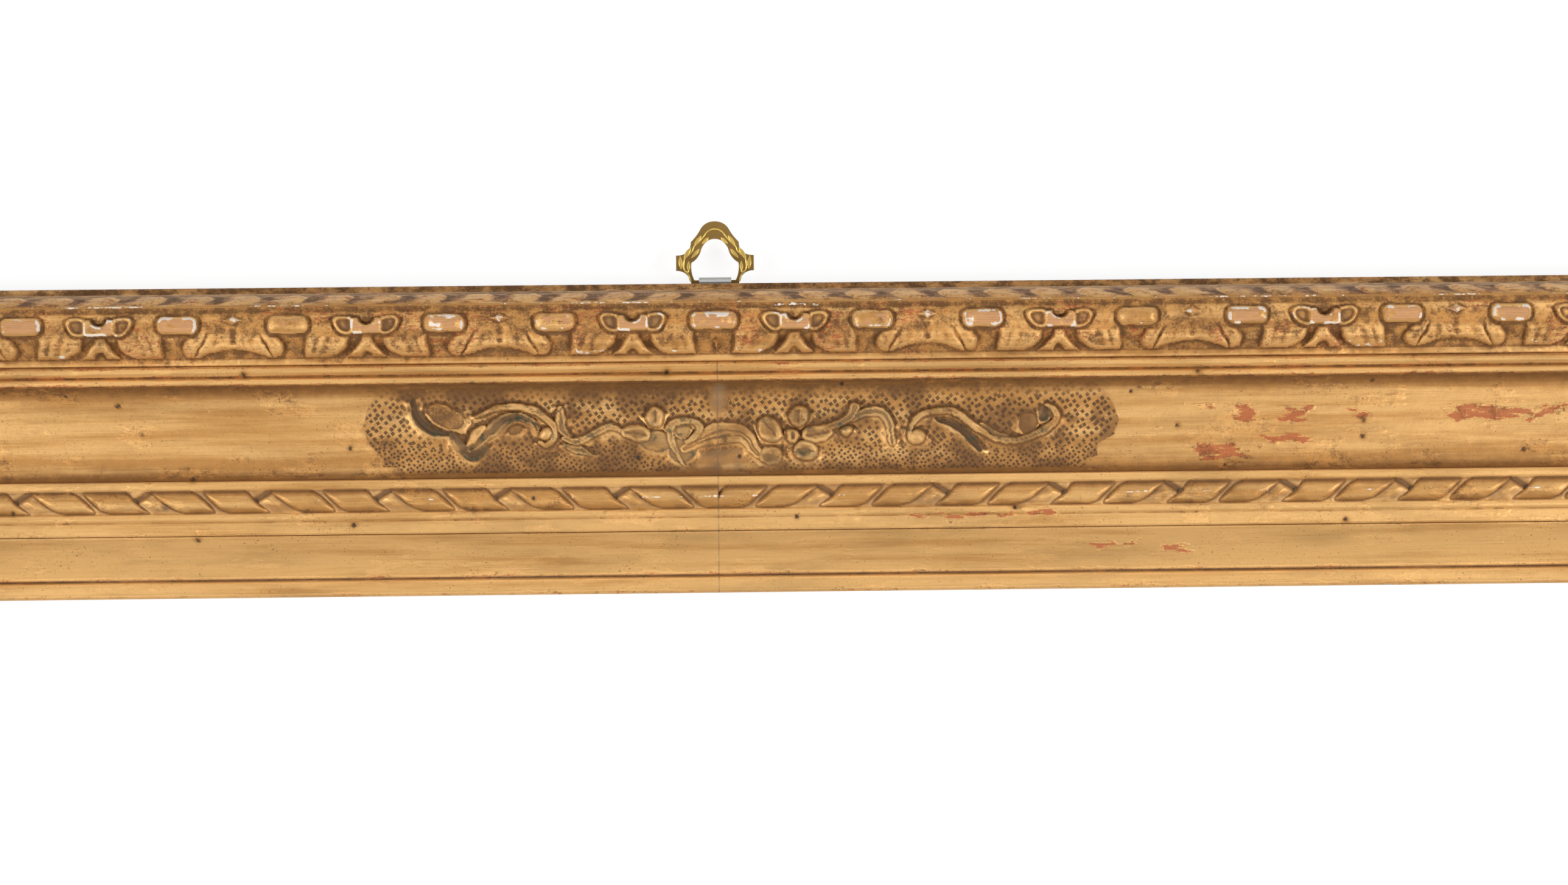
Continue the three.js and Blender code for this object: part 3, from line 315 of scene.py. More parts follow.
# Places on the top side where the leaf is rubbed down to the red clay: (along, along, across, across)
RUBBED_PLACES = (
    (165.6, 174.2, 42.6, 46.4), (182.3, 191.5, 42.1, 46.9), (236.6, 263.4, 42.1, 47.3),
    (265.6, 276.0, 41.8, 45.6), (176.4, 193.0, 50.7, 54.0), (153.8, 169.9, 53.6, 58.1),
    (150.0, 172.0, 40.6, 42.4), (121.9, 135.0, 84.6, 87.3), (143.0, 152.0, 86.0, 88.6),
    (205.0, 212.0, 43.0, 46.0), (60.0, 69.0, 75.0, 76.4), (72.0, 86.0, 74.8, 77.0),
    (90.0, 96.0, 75.4, 76.6), (99.0, 110.0, 74.6, 76.2),
)

# The hanger ring's outline, from the axis that it swings on
RING_HALF_THICKNESS = 0.5
RING_BEVEL = 0.12
RING_FACE = 0.00055
RING_STEM_RADIUS = 0.34
RING_STEM_SINK = 0.05
RING_LEAF_HEIGHT = 0.42
RING_LEAF_VEIN = 0.16
RING_FOOT = (7.8, -0.65)
RING_SIDE = (
    ((8.7, 3.8), (12.8, 3.8)), ((12.8, 6.3), (12.8, 8.8)), ((7.9, 8.8), (7.9, 13.2)),
    ((5.77, 15.3), (4.7, 17.4)), ((3.13, 20.0), (0.0, 20.0)),
)
EYE_FOOT = (6.8, 0.65)
EYE_SIDE = (
    ((8.1, 3.2), (7.7, 6.4)), ((5.06, 7.9), (4.4, 10.9)), ((2.93, 14.2), (0.0, 14.2)),
)
# Leaves on the ring's right side: middle, length, width and lean from upright in degrees
RING_LEAVES = (
    ((11.3, 6.4), 4.8, 1.5, 4), ((8.7, 5.2), 3.6, 1.3, -3), ((9.0, 9.6), 4.5, 1.4, -34),
    ((6.4, 9.4), 4.2, 1.3, -40), ((5.5, 13.8), 3.9, 1.3, -38), ((3.1, 13.6), 3.2, 1.2, -48),
)
RING_STEMS = (
    ((7.9, 0.2), (8.7, 2.4), (9.9, 3.7), (10.3, 5.6), (9.9, 7.8), (7.6, 10.0), (6.8, 11.8), (5.2, 13.2),
     (3.8, 14.8), (2.7, 16.3), (1.3, 17.2), (0.0, 17.4)),
    ((9.9, 3.7), (8.8, 3.2), (8.6, 4.4)),
)

# Meshes: a depth far outside every form, how many places a mesh's pace is looked up at, how far from the top
# side's middle a mesh is fine, and how far apart the patterns of two sides lie, in metres
FAR_OUTSIDE = -9.0
PACE_PLACES = 4000
FINE_CARVING = 285
FINE_CARTOUCHE = 132
FINE_SEAM = 4
SIDE_SHIFT = 3

# The stage, in metres: wall and floor, and each lamp's place from the top rail, its size and its share of
# the power; the camera's sensor and the height that it looks at are millimetres
WHITE = (1, 1, 1, 1)
FLOOR_SHADE = (0.6, 0.6, 0.6, 1)
WALL_AT = 0.008
WALL_GLOW = 0.86
FLOOR_GLOW = 0.62
FLOOR_DROP = 0.45
BACKDROP_SIZE = 8
LAMP_AIM_DROP = 0.05
LAMPS = {
    "left": ((-1.7, -1.6, -0.4), 0.9, 1.0),
    "right": ((1.7, -1.7, -0.4), 0.9, 1.08),
    "top": ((0.2, -1.4, 1.7), 1.2, 0.3),
    "back": ((0.4, 2.2, 0.6), 2.0, 0.6),
}
SENSOR_WIDTH = 36
FOCUS_HEIGHT = 30


# Sizes and colours that can be changed

class FrameSizes(bpy.types.PropertyGroup):
    """Sizes of the carving"""

    carving_period: FloatProperty(
        name="Carving period", description="From one knot to the next", default=0.085, unit="LENGTH")
    bar_length: FloatProperty(
        name="Bar length", description="Of a bar on the torus", default=0.013, unit="LENGTH")
    bar_width: FloatProperty(
        name="Bar width", description="Of a bar on the torus", default=0.0059, unit="LENGTH")
    leaf_pitch: FloatProperty(
        name="Leaf pitch", description="Between leaves on the outer band", default=0.015, unit="LENGTH")
    ribbon_lean: FloatProperty(
        name="Ribbon lean", description="Slope of the ribbon's turns along the stick", default=1.06)
    narrow_turn: FloatProperty(
        name="Narrow turn", description="Width of a narrow turn of ribbon", default=0.0022, unit="LENGTH")
    wide_turn: FloatProperty(
        name="Wide turn", description="Waist of a wide turn of ribbon", default=0.006, unit="LENGTH")
    joint_gap: FloatProperty(
        name="Joint gap", description="From a skin's end to the joint", default=0.000005, unit="LENGTH")
    fine_step: FloatProperty(
        name="Fine step", description="Mesh step on the top side", default=0.0004, unit="LENGTH")
    plain_step: FloatProperty(
        name="Plain step", description="Mesh step on the other sides", default=0.0009, unit="LENGTH")


def colour(name, description, value):
    """A colour that can be changed"""
    return FloatVectorProperty(
        name=name, description=description, subtype="COLOR", size=4, min=0, max=1, default=(*value, 1))


class FrameColours(bpy.types.PropertyGroup):
    """Colours of the finishes"""

    gold: colour("Gold", "Leaf in full light", (0.56, 0.275, 0.078))
    # Pale gold is also painted as highlights on the crests, and toning is also painted as shade in the
    # creases
    pale_gold_and_highlight: colour("Pale gold", "Leaf on rubbed crests", (0.80, 0.465, 0.17))
    toning_and_shade: colour("Toning", "Brown toning that lies in the creases", (0.118, 0.050, 0.017))
    bole: colour("Bole", "Red clay under the leaf", (0.40, 0.090, 0.034))
    gesso: colour("Gesso", "White ground under the clay", (0.78, 0.68, 0.57))
    bare_wood: colour("Bare wood", "Wood where the carving is worn through", (0.58, 0.29, 0.125))
    grime: colour("Grime", "Old dust in the deep places", (0.27, 0.175, 0.095))
    punch: colour("Punch", "Bottom of the punched dots", (0.092, 0.046, 0.020))
    patina: colour("Patina", "Green-brown tone of the ornament", (0.235, 0.165, 0.075))
    verdigris: colour("Verdigris", "Green stain on the scrolls", (0.040, 0.060, 0.040))
    hole: colour("Hole", "Inside of a worm hole", (0.040, 0.024, 0.014))
    old_wood: colour("Old wood", "Back and sides of the rails", (0.205, 0.118, 0.060))
    wood_shade: colour("Wood shade", "Dark grain of the old wood", (0.085, 0.045, 0.022))
    key_wood: colour("Key wood", "Mitre keys", (0.16, 0.078, 0.034))
    splice_wood: colour("Splice wood", "Splice plates and dowels", (0.43, 0.25, 0.11))
    brass: colour("Brass", "Hanger ring", (0.86, 0.60, 0.16))
    brass_shade: colour("Brass shade", "Ground of the stamping", (0.36, 0.215, 0.06))
    plated: colour("Plated steel", "Strap and its screws", (0.66, 0.61, 0.56))
    iron: colour("Iron", "Plate screws and pins", (0.085, 0.072, 0.062))


class FrameStage(bpy.types.PropertyGroup):
    """Camera, wall and light"""

    view_width: FloatProperty(
        name="View width", description="Width that the picture takes in", default=0.5051, unit="LENGTH")
    view_right: FloatProperty(
        name="View right", description="From the splice to the view's middle", default=0.0213, unit="LENGTH")
    view_drop: FloatProperty(
        name="View drop", description="From the top edge to the view's middle", default=0.0518, unit="LENGTH")
    distance: FloatProperty(
        name="Distance", description="From the camera to the frame", default=1.5, unit="LENGTH")
    yaw: FloatProperty(
        name="Yaw", description="How far the camera stands to the left", default=math.radians(1.4),
        subtype="ANGLE")
    roll: FloatProperty(
        name="Roll", description="Tilt of the camera", default=math.radians(0.62), subtype="ANGLE")
    lamp_power: FloatProperty(
        name="Lamp power", description="Of the main soft lamp", default=36.0, unit="POWER")
    wall: colour("Wall", "Wall behind the frame", (0.20, 0.20, 0.20))
    floor: colour("Floor", "Floor below the frame", (0.34, 0.335, 0.33))


# Lengths of moulding

@dataclass
class Length:
    """One length of moulding in its side's own frame: along the side, across it from the outer edge
    inwards, and in height above the back."""

    name: str
    side: int
    turn: float
    half: float
    reach: float
    low_mitred: bool
    high_mitred: bool

    def along(self, share, across, gap):
        """Places along the side, for shares from 0 at the low end to 1 at the high end"""
        mitre = self.half - across - gap
        low = -mitre if self.low_mitred else gap
        high = mitre if self.high_mitred else -gap
        return low + share * (high - low)

    def spliced(self):
        """True where one end meets the other half of its side"""
        return not (self.low_mitred and self.high_mitred)

    def on_low_half(self, along):
        """True on the half of a spliced side that has its own spacing of the carving"""
        return (along < 0) & self.spliced()

    def place(self, along, across, height):
        """Places in the frame's space, in metres"""
        z = self.reach - across
        cos, sin = math.cos(self.turn), math.sin(self.turn)
        world = (cos * along + sin * z, BACK - height, CENTRE_Z - sin * along + cos * z)
        return np.stack(np.broadcast_arrays(*world), axis=-1) * MM


LENGTHS = (
    Length("top_left", 0, 0.0, HALF_WIDTH, HALF_HEIGHT, True, False),
    Length("top_right", 0, 0.0, HALF_WIDTH, HALF_HEIGHT, False, True),
    Length("right", 1, math.pi / 2, HALF_HEIGHT, HALF_WIDTH, True, True),
    Length("bottom_right", 2, math.pi, HALF_WIDTH, HALF_HEIGHT, True, False),
    Length("bottom_left", 2, math.pi, HALF_WIDTH, HALF_HEIGHT, False, True),
    Length("left", 3, -math.pi / 2, HALF_HEIGHT, HALF_WIDTH, True, True),
)


# Carver's measures

def ease(value, low, high):
    """0 below low, 1 above high, and a smooth rise between"""
    share = np.clip((value - low) / (high - low), 0, 1)
    return share * share * (3 - 2 * share)


def between(value, start, full, fade, end):
    """0 before start and after end, and 1 from full to fade"""
    return ease(value, start, full) * (1 - ease(value, fade, end))


def ridge(distance, width):
    """1 on a line, falling away on both sides over about a width"""
    return np.exp(-((distance / width) ** 2))


def wander(x, y, size, seed):
    """Smooth random values from -1 to 1 that change over about one size"""
    table = np.random.default_rng(seed).uniform(-1, 1, (256, 256))
    column, row = np.floor(x / size).astype(int), np.floor(y / size).astype(int)
    right, down = ease(x / size - column, 0, 1), ease(y / size - row, 0, 1)
    corner = [[table[(column + i) % 256, (row + j) % 256] for j in (0, 1)] for i in (0, 1)]
    near = corner[0][0] * (1 - down) + corner[0][1] * down
    far = corner[1][0] * (1 - down) + corner[1][1] * down
    return near * (1 - right) + far * right


def chance(index, seed):
    """A fixed random value from 0 to 1 for each whole number"""
    table = np.random.default_rng(seed).uniform(0, 1, 512)
    return table[index.astype(int) % 512]


def rounded_box(x, y, half_length, half_width, corner):
    """Depth inside a box with round corners, negative outside"""
    beside = np.abs(x) - half_length + corner
    above = np.abs(y) - half_width + corner
    outside = np.hypot(np.maximum(beside, 0), np.maximum(above, 0))
    return corner - outside - np.minimum(np.maximum(beside, above), 0)


def ellipse(x, y, half_length, half_width):
    """Depth inside an ellipse, negative outside"""
    reach = np.hypot(x / half_length, y / half_width)
    slope = np.hypot(x / half_length**2, y / half_width**2)
    return reach * (1 - reach) / np.maximum(slope, 1e-6)


def inside_corners(x, y, corners):
    """Depth inside a shape with straight sides and soft corners, negative outside"""
    sharpness = 2.2
    nearness = np.zeros(x.shape)
    for (x0, y0), (x1, y1) in zip(corners, (*corners[1:], corners[0])):
        side = math.hypot(x1 - x0, y1 - y0)
        depth = ((x1 - x0) * (y - y0) - (y1 - y0) * (x - x0)) / side
        nearness += np.exp(-sharpness * np.clip(depth, -12, 12))
    return -np.log(nearness) / sharpness


def inside_both(first, second, corner):
    """Depth inside two shapes at once, with a round corner where their edges meet"""
    outside = np.hypot(np.maximum(corner - first, 0), np.maximum(corner - second, 0))
    return np.maximum(np.minimum(first, second), corner) - outside


def cushion(depth, reach):
    """0 outside, rising like the side of a round cushion to 1 at a reach inside"""
    share = np.clip(depth / reach, 0, 1)
    return np.sqrt(share * (2 - share))


def smooth_line(points, pieces=6):
    """More points along a smooth curve through the given ones"""
    points = np.array(points, float)
    padded = np.vstack([2 * points[0] - points[1], points, 2 * points[-1] - points[-2]])
    line = []
    for a, b, c, d in zip(padded, padded[1:], padded[2:], padded[3:]):
        for t in np.arange(pieces) / pieces:
            bend = 2 * b + (c - a) * t + (2 * a - 5 * b + 4 * c - d) * t**2
            line.append((bend + (3 * b - a - 3 * c + d) * t**3) / 2)
    return np.array([*line, points[-1]])


def near_line(x, y, line):
    """Distance to a line of points, and the share of its length at the nearest place"""
    best = np.full(x.shape, 1e9)
    share = np.zeros(x.shape)
    for i, (start, end) in enumerate(zip(line, line[1:])):
        run = end - start
        t = np.clip(((x - start[0]) * run[0] + (y - start[1]) * run[1]) / max(run @ run, 1e-9), 0, 1)
        distance = np.hypot(x - start[0] - t * run[0], y - start[1] - t * run[1])
        closer = distance < best
        best = np.where(closer, distance, best)
        share = np.where(closer, (i + t) / (len(line) - 1), share)
    return best, share


def softened(field, reach, axis):
    """Averages over a window along one axis"""
    width = 2 * max(int(reach), 1) + 1
    pad = [(0, 0), (0, 0)]
    pad[axis] = (width // 2 + 1, width // 2)
    total = np.cumsum(np.pad(field, pad, mode="edge"), axis=axis)
    size = field.shape[axis]
    low = np.take(total, np.arange(size), axis=axis)
    high = np.take(total, np.arange(width, width + size), axis=axis)
    return (high - low) / width


def hollowness(height, column_step, row_step, reach=1.8):
    """How far a place lies below its surroundings: positive in creases, negative on crests"""
    soft = height
    for _ in range(2):
        soft = softened(soft, reach / column_step, 0)
        soft = softened(soft, reach / row_step, 1)
    return soft - height


def creases(height, column_step, row_step):
    """Painted shade: tight dark lines in the creases, with a softer shade round them; negative on the crests,
    where it paints highlights
    """
    tight = hollowness(height, column_step, row_step, 0.7)
    broad = hollowness(height, column_step, row_step, 1.9)
    return 1.9 * tight + 0.22 * broad


# Carved surfaces

@dataclass
class Rows:
    """Stations along a section line, with the outward direction at each"""

    across: np.ndarray
    height: np.ndarray
    normal_across: np.ndarray
    normal_height: np.ndarray
    step: float


def even_shares(length, pace):
    """Shares of a length whose spacing follows a pace, the steps per millimetre at even places along it"""
    steps = np.concatenate([[0], np.cumsum(pace) * length / len(pace)])
    count = max(int(round(steps[-1])), 2)
    return np.interp(np.linspace(0, steps[-1], count + 1), steps, np.linspace(0, 1, len(steps)))


def rows_along(section, step, plain_from, plain_to, plain_step):
    """Stations a step apart along a section line, and a plain step apart on one part of it"""
    points = np.array(section, float)
    lengths = np.hypot(*np.diff(points, axis=0).T)
    travelled = np.concatenate([[0], np.cumsum(lengths)])
    places = np.interp(np.linspace(0, travelled[-1], PACE_PLACES), travelled, points[:, 0])
    plain = (places > plain_from) & (places < plain_to)
    stations = travelled[-1] * even_shares(travelled[-1], np.where(plain, 1 / plain_step, 1 / step))
    across = np.interp(stations, travelled, points[:, 0])
    height = np.interp(stations, travelled, points[:, 1])
    run, rise = np.gradient(across), np.gradient(height)
    size = np.hypot(run, rise)
    return Rows(across, height, -rise / size, run / size, step)


@dataclass
class Carved:
    """A carved surface: its places, what the finish does there, and the depths inside its cut forms"""

    across: np.ndarray
    height: np.ndarray
    bole: np.ndarray
    gesso: np.ndarray
    wood: np.ndarray
    grime: np.ndarray
    # The crease value holds toning and painted shade: dark in the creases, and a painted highlight on the
    # crests
    painted_shade_and_toning: np.ndarray
    punch: np.ndarray
    stain: np.ndarray
    hole: np.ndarray
    leaf_edge: np.ndarray
    form_edge: np.ndarray
    # The form line weights a painted shade line at the feet of cut forms
    form_shade_line: np.ndarray


def plain_surface(along, rows):
    """The bare section along the whole length, in sound leaf and far from any cut edge"""
    across = np.broadcast_to(rows.across, along.shape).copy()
    height = np.broadcast_to(rows.height, along.shape).copy()
    marks = (np.zeros(along.shape) for _ in range(8))
    edges = (np.full(along.shape, FAR_OUTSIDE) for _ in range(2))
    return Carved(across, height, *marks, *edges, np.full(along.shape, 0.6))


def column_steps(along):
    """Steps between columns at the first row"""
    return np.abs(np.diff(along[:, 0]))


def add_holes(length, along, carved):
    """Round dark holes, as found on the top side and strewn over the others"""
    places = HOLES
    if length.side != 0:
        strewn = np.random.default_rng(40 + length.side)
        reach = length.half - STREWN_FROM_CORNER
        places = zip(strewn.uniform(-reach, reach, STREWN_HOLES), strewn.uniform(*STREWN_SPAN, STREWN_HOLES))
    ragged = 0.25 * wander(along, carved.across, 0.7, 77)
    for x, y in places:
        distance = np.hypot(along - x, carved.across - y)
        carved.hole = np.maximum(carved.hole, 1 - ease(distance + ragged, *HOLE_RIM))
        carved.painted_shade_and_toning = np.maximum(carved.painted_shade_and_toning, 0.5 * ridge(distance, HOLE_HALO))


def rubbed_lines(across, lines):
    """Clay that shows along lines: each has its place, its width and its strength"""
    return sum(strength * ridge(across - place, width) for place, width, strength in lines)


# The outer carving

def leaf_band(outward, share, pitch):
    """Relief of the overlapping leaves on the steep outer band, how far along its leaf a place lies, and
    how near the band's middle it is; share runs up the band"""
    lean = BAND_LEAF_LEAN * np.sin(math.pi * share)
    phase = np.mod(outward / pitch + lean, 1.0)
    middle = between(share, *BAND_LEAF_SPAN)
    body = (1 - 0.9 * phase) * ease(phase, 0.0, 0.1)
    return BAND_LEAF_HEIGHT * middle * body - 0.25 * ridge(share - 0.2, 0.1), phase, middle


def leaves_below(away, across, half_period):
    """Depth inside the leaves that hang from the crest, over half a period from a knot"""
    drop = np.clip((across - LEAF_SPRING) / LEAF_DROP, 0, 1.05)
    foot = 1.5 * (LEAF_FOOT - across)
    lobe_from, lobe_to = LOBE_SPAN
    lobe = np.minimum(away - lobe_from - LOBE_HOOK * drop**3, lobe_to + 0.5 * drop - away)
    arch_width, arch_rise = LEG_ARCH_AXES
    under_leg = (np.hypot(away / arch_width, (LEG_ARCH_FOOT - across) / arch_rise) - 1) * 2.2
    leg = np.minimum(LEG_HALF_WIDTH + LEG_SPREAD * drop**1.5 - away, under_leg)
    panel_edge = PANEL_EDGE[0] - PANEL_LEAN * (across - PANEL_EDGE[1])
    from_scroll, _ = near_line(away, across, np.array(SCROLL_LINE))
    scroll = np.minimum(SCROLL_HALF_WIDTH - from_scroll, panel_edge - away)
    arch = PANEL_FOOT + PANEL_ARCH_RISE * np.clip((half_period - away) / PANEL_ARCH_REACH, 0, 1.3) ** 2
    panel = np.minimum(away - panel_edge, 1.5 * (arch - across))
    return np.minimum(lobe, foot), np.minimum(leg, foot), scroll, panel


def crest_leaves(away, across, rough, fine, half_period):
    """Leaves like cushions, cut down to the ground between them: their height, the depth inside them, and
    the depth inside their lobes"""
    crest = np.interp(across, *zip(*CREST_LINE))
    ground = np.minimum(np.interp(across, *zip(*GROUND_LINE)), crest)
    leaves = leaves_below(away + 0.35 * rough, across + 0.2 * fine, half_period)
    leaf = np.maximum.reduce([*leaves, LEAVES_FROM - across])
    height = ground + (crest - ground) * cushion(leaf + 0.3, LEAF_CUSHION)
    hanging = between(across, *HANGING_SPAN)
    groove = away - LOBE_GROOVE[0] - 0.3 * (across - LOBE_GROOVE[1])
    fold = away - PANEL_FOLD[0] + 0.2 * (across - PANEL_FOLD[1])
    height -= hanging * (0.55 * ridge(groove, 1.3) + 0.35 * ridge(groove - 3.4, 0.8))
    height -= 0.9 * ridge(half_period - away, 1.2) * between(across, *PANEL_MIDDLE_SPAN)
    height -= 0.45 * ridge(fold, 1.1) * hanging
    return height, leaf, leaves[0]


def crest_motifs(knot, across, rough, sizes):
    """Depths inside the bars, the knots' blocks, the knots' ears and the lozenges"""
    away = np.abs(knot)
    at_knot = away < KNOT_REACH
    bar_sizes = (sizes.bar_length / MM / 2, sizes.bar_width / MM / 2, BAR_CORNER)
    bar = rounded_box(away - BAR_FROM_KNOT, across - MOTIF_LINE, *bar_sizes) + 0.15 * rough
    bite = np.hypot(knot, across - KNOT_BITE[0]) - KNOT_BITE[1]
    block = np.minimum(rounded_box(knot, across - KNOT_LINE, *KNOT_BLOCK), bite)
    block = np.where(at_knot, block + 0.15 * rough, FAR_OUTSIDE)
    ear = np.where(at_knot, inside_corners(away, across, KNOT_EAR) + 0.2 * rough, FAR_OUTSIDE)
    lozenge_length, lozenge_width = LOZENGE_HALF_AXES
    from_middle = sizes.carving_period / MM / 2 - away
    lozenge = 1 - from_middle / lozenge_length - np.abs(across - LOZENGE_LINE) / lozenge_width
    return bar, block, ear, lozenge


def raise_motifs(height, away, bar, block, ear, lozenge):
    """Sets the motifs on the crest, each in its own small trench"""
    beside_block = away > KNOT_WAIST
    at_block = away < KNOT_WAIST
    height -= 0.5 * ridge(bar + 0.5, 0.55)
    height -= 0.45 * ridge(ear + 0.4, 0.45) * beside_block + 0.6 * ridge(block + 0.4, 0.45) * at_block
    height += (EAR_TOP - height) * cushion(ear + 0.1, 0.7) - EAR_SCOOP * ease(ear, 0.65, 1.35)
    height += (BAR_TOP - height) * cushion(bar + 0.1, BAR_CUSHION)
    height += (KNOT_TOP - height) * cushion(block + 0.1, 0.9)
    height += LOZENGE_HEIGHT * np.clip(lozenge, 0, 0.8)
    return height


def torus(outward, across, first_knot, sizes, seed):
    """The carved torus: its height, the depths inside its leaves and motifs, and how they are worn"""
    period = sizes.carving_period / MM
    index = np.floor((outward - first_knot) / period + 0.5)
    knot = outward - first_knot - index * period
    away = np.abs(knot)
    rough = wander(outward + 400 * seed, across, 2.6, seed)
    fine = wander(outward + 400 * seed, across, 1.1, seed + 1)
    height, leaf, lobe = crest_leaves(away, across, rough, fine, period / 2)
    bar, block, ear, lozenge = crest_motifs(knot, across, rough, sizes)
    height = raise_motifs(height, away, bar, block, ear, lozenge)
    height = np.maximum(height, np.interp(across, *zip(*WOOD_LINE)))

    # Bare wood on the tops, more of it on some motifs than on others
    motif = 4 * index + np.where(knot > 0, 1, 0) + 64
    luck = chance(motif, seed)
    worn = ease(luck, 0.08, 0.35)
    blotch = ease(rough + 0.4 * fine, -0.1, 0.35)
    tops = np.maximum(ease(bar, 0.5, 1.3) * worn, ease(block, 0.35, 0.9) * ease(luck, 0.05, 0.3))
    peaks = ease(lozenge, 0.05, 0.4) * (0.45 + 0.55 * chance(motif, seed + 3))
    wood = np.maximum(tops * (0.52 + 0.34 * (1 - blotch)), 0.6 * peaks)

    # Gesso round the bare wood, and chips along the leaves' lower edges, most of them beside the seam
    rims = np.maximum(ridge(bar - 0.9, 0.65) * worn, ridge(block - 0.5, 0.5)) * blotch
    patch = ease(bar, 0.3, 0.8) * ease(rough, 0.25, 0.55) * (chance(motif, seed + 4) > 0.5)
    loops = ridge(ear - 0.35, 0.35) * blotch * (chance(motif, seed + 1) > 0.4)
    chips = ridge(lobe - 1.0, 1.2) * ease(across, 19.8, 21.6) * (across < LEAF_FOOT - 0.1) * blotch
    chipped_reach = np.where(first_knot == FIRST_KNOT_LEFT, CHIPPED_LEFT, CHIPPED_RIGHT)
    chips *= (chance(motif, seed + 2) > 0.6) | (outward < chipped_reach)
    gesso = np.maximum.reduce([0.95 * rims, 0.85 * patch, 0.66 * loops, 0.82 * chips, 0.8 * peaks])

    # Dust between the leaves, round the motifs and in the ears
    valley = ease(-leaf, -0.4, 0.8) * (across > LEAVES_FROM) * (across < LEAF_FOOT)
    dust = np.maximum(0.16 * valley, 0.25 * ridge(bar + 0.5, 0.5) + 0.2 * ridge(ear + 0.4, 0.4))
    dust = np.maximum(dust, 0.4 * ease(ear, 0.5, 1.2) * (block < 0))
    dust = dust + 0.2 * rough * (dust > 0.1)
    motifs = np.maximum(bar, np.maximum(block, ear))
    return SimpleNamespace(height=height, leaf=leaf, motifs=motifs, wood=wood, gesso=gesso, dust=dust)


def outer_carving(length, along, rows, sizes):
    """Fillet, leaf band and torus"""
    carved = plain_surface(along, rows)
    outward = np.abs(along)
    first_knot = np.where(length.on_low_half(along), FIRST_KNOT_LEFT, FIRST_KNOT_RIGHT)
    seed = 7 + 10 * length.side
    low = np.zeros(along.shape)

    band = (rows.across > LEAF_BAND_AT - 0.3) & (rows.across < ARRIS_AT - 0.4)
    share = (rows.across[band] - rows.across[band][0]) / np.ptp(rows.across[band])
    relief, phase, middle = leaf_band(outward[:, band], share, sizes.leaf_pitch / MM)
    patchy = wander(along[:, band], rows.height[band], 3.0, seed)
    relief += 0.16 * patchy
    carved.across[:, band] += relief * rows.normal_across[band]
    carved.height[:, band] += relief * rows.normal_height[band]
    # Painted shade darkens each leaf of the band towards its end, where the next leaf overlaps it, and a
    # painted highlight lightens it just after its start
    end_of_leaf = between(phase, 0.45, 0.8, 0.93, 1.0) * middle
    low[:, band] = 0.5 * end_of_leaf + 0.15 * patchy - 0.55 * ridge(phase - 0.2, 0.25) * middle - 0.2
    carved.grime[:, band] = 0.04 + 0.75 * ridge(share - 0.13, 0.12)
    carved.bole[:, band] = 0.42 + 0.1 * patchy

    fillet = rows.across < LEAF_BAND_AT - 0.3
    carved.bole[:, fillet] = 0.40
    low[:, fillet] = 0.08 + 0.3 * wander(along[:, fillet], rows.height[fillet], 5.0, seed + 6)

    crest = rows.across >= ARRIS_AT + 0.3
    crest_along, crest_across = along[:, crest], carved.across[:, crest]
    carving = torus(outward[:, crest], crest_across, first_knot[:, crest], sizes, seed)
    carving.height += 0.14 * wander(crest_along, crest_across, 4.0, seed + 1)
    carving.height += 0.08 * wander(crest_along, crest_across, 1.4, seed + 2)
    carved.height[:, crest] = carving.height
    carved.wood[:, crest] = carving.wood
    carved.gesso[:, crest] = carving.gesso
    carved.grime[:, crest] = carving.dust
    carved.leaf_edge[:, crest] = carving.leaf
    carved.form_edge[:, crest] = carving.motifs
    # Painted shade: dark lines at the feet of the motifs, stronger below them, and shade in the creases,
    # lifted as painted light round the motifs above the motif line
    below_motifs = ease(crest_across - MOTIF_LINE, -1.0, 2.5)
    carved.form_shade_line[:, crest] = 0.22 + 0.6 * below_motifs
    painted_light = ridge(carving.motifs + 0.4, 1.3) * (1 - below_motifs)
    low[:, crest] = creases(carving.height, column_steps(along).mean(), rows.step) * (1 - 0.7 * painted_light)

    # Painted shade darkens the creases and a line below the arris, painted highlights lighten the crests and
    # the feet of the leaves, and the crests are rubbed to the red clay
    below_leaves = rows.across > GROUND_FILLET_AT
    foot_rows = ease(rows.across[crest], 18.0, 21.0) * (rows.across[crest] < LEAF_FOOT)
    red = ease(wander(crest_along, crest_across, 9.0, seed + 5), 0.0, 0.6)
    carved.painted_shade_and_toning = 0.44 + np.clip(low / 0.9, -0.4, 0.45)
    carved.painted_shade_and_toning += 0.2 * ridge(rows.across - ARRIS_AT - 1.6, 0.8) - 0.28 * below_leaves
    carved.painted_shade_and_toning[:, crest] -= 0.3 * ridge(carving.leaf - 0.9, 0.7) * foot_rows
    carved.bole[:, crest] = 0.36 + 0.14 * red - 0.10 * ease(carving.motifs, 0, 0.6)
    carved.bole -= 0.16 * below_leaves

    # The arris and the outer edge are chipped to the white
    loose = ease(wander(along, carved.across, 9.0, seed + 3), 0.0, 0.6)
    arris = ridge(rows.across - ARRIS_AT + 0.25, 0.35) * (0.42 + 0.2 * loose)
    flaked = ridge(rows.across - ARRIS_AT - 0.9, 0.9) * between(along, *FLAKED_SPAN) * (length.side == 0)
    edge = ridge(rows.across, 1.2) * ease(wander(along, carved.across, 6.0, seed + 4), 0.45, 0.7)
    carved.gesso = np.maximum.reduce([carved.gesso, arris, 0.5 * flaked, 0.3 * edge])
    return carved


# The hollow and its cartouche

def cartouche_edge(along, across):
    """Depth inside the punched panel, negative outside"""
    left = np.interp(across, *zip(*CARTOUCHE_LEFT_END))
    right = np.interp(across, *zip(*CARTOUCHE_RIGHT_END))
    ends = np.minimum(along - left, right - along)
    return np.minimum(ends, np.minimum(across - CARTOUCHE_SPAN[0], CARTOUCHE_SPAN[1] - across))


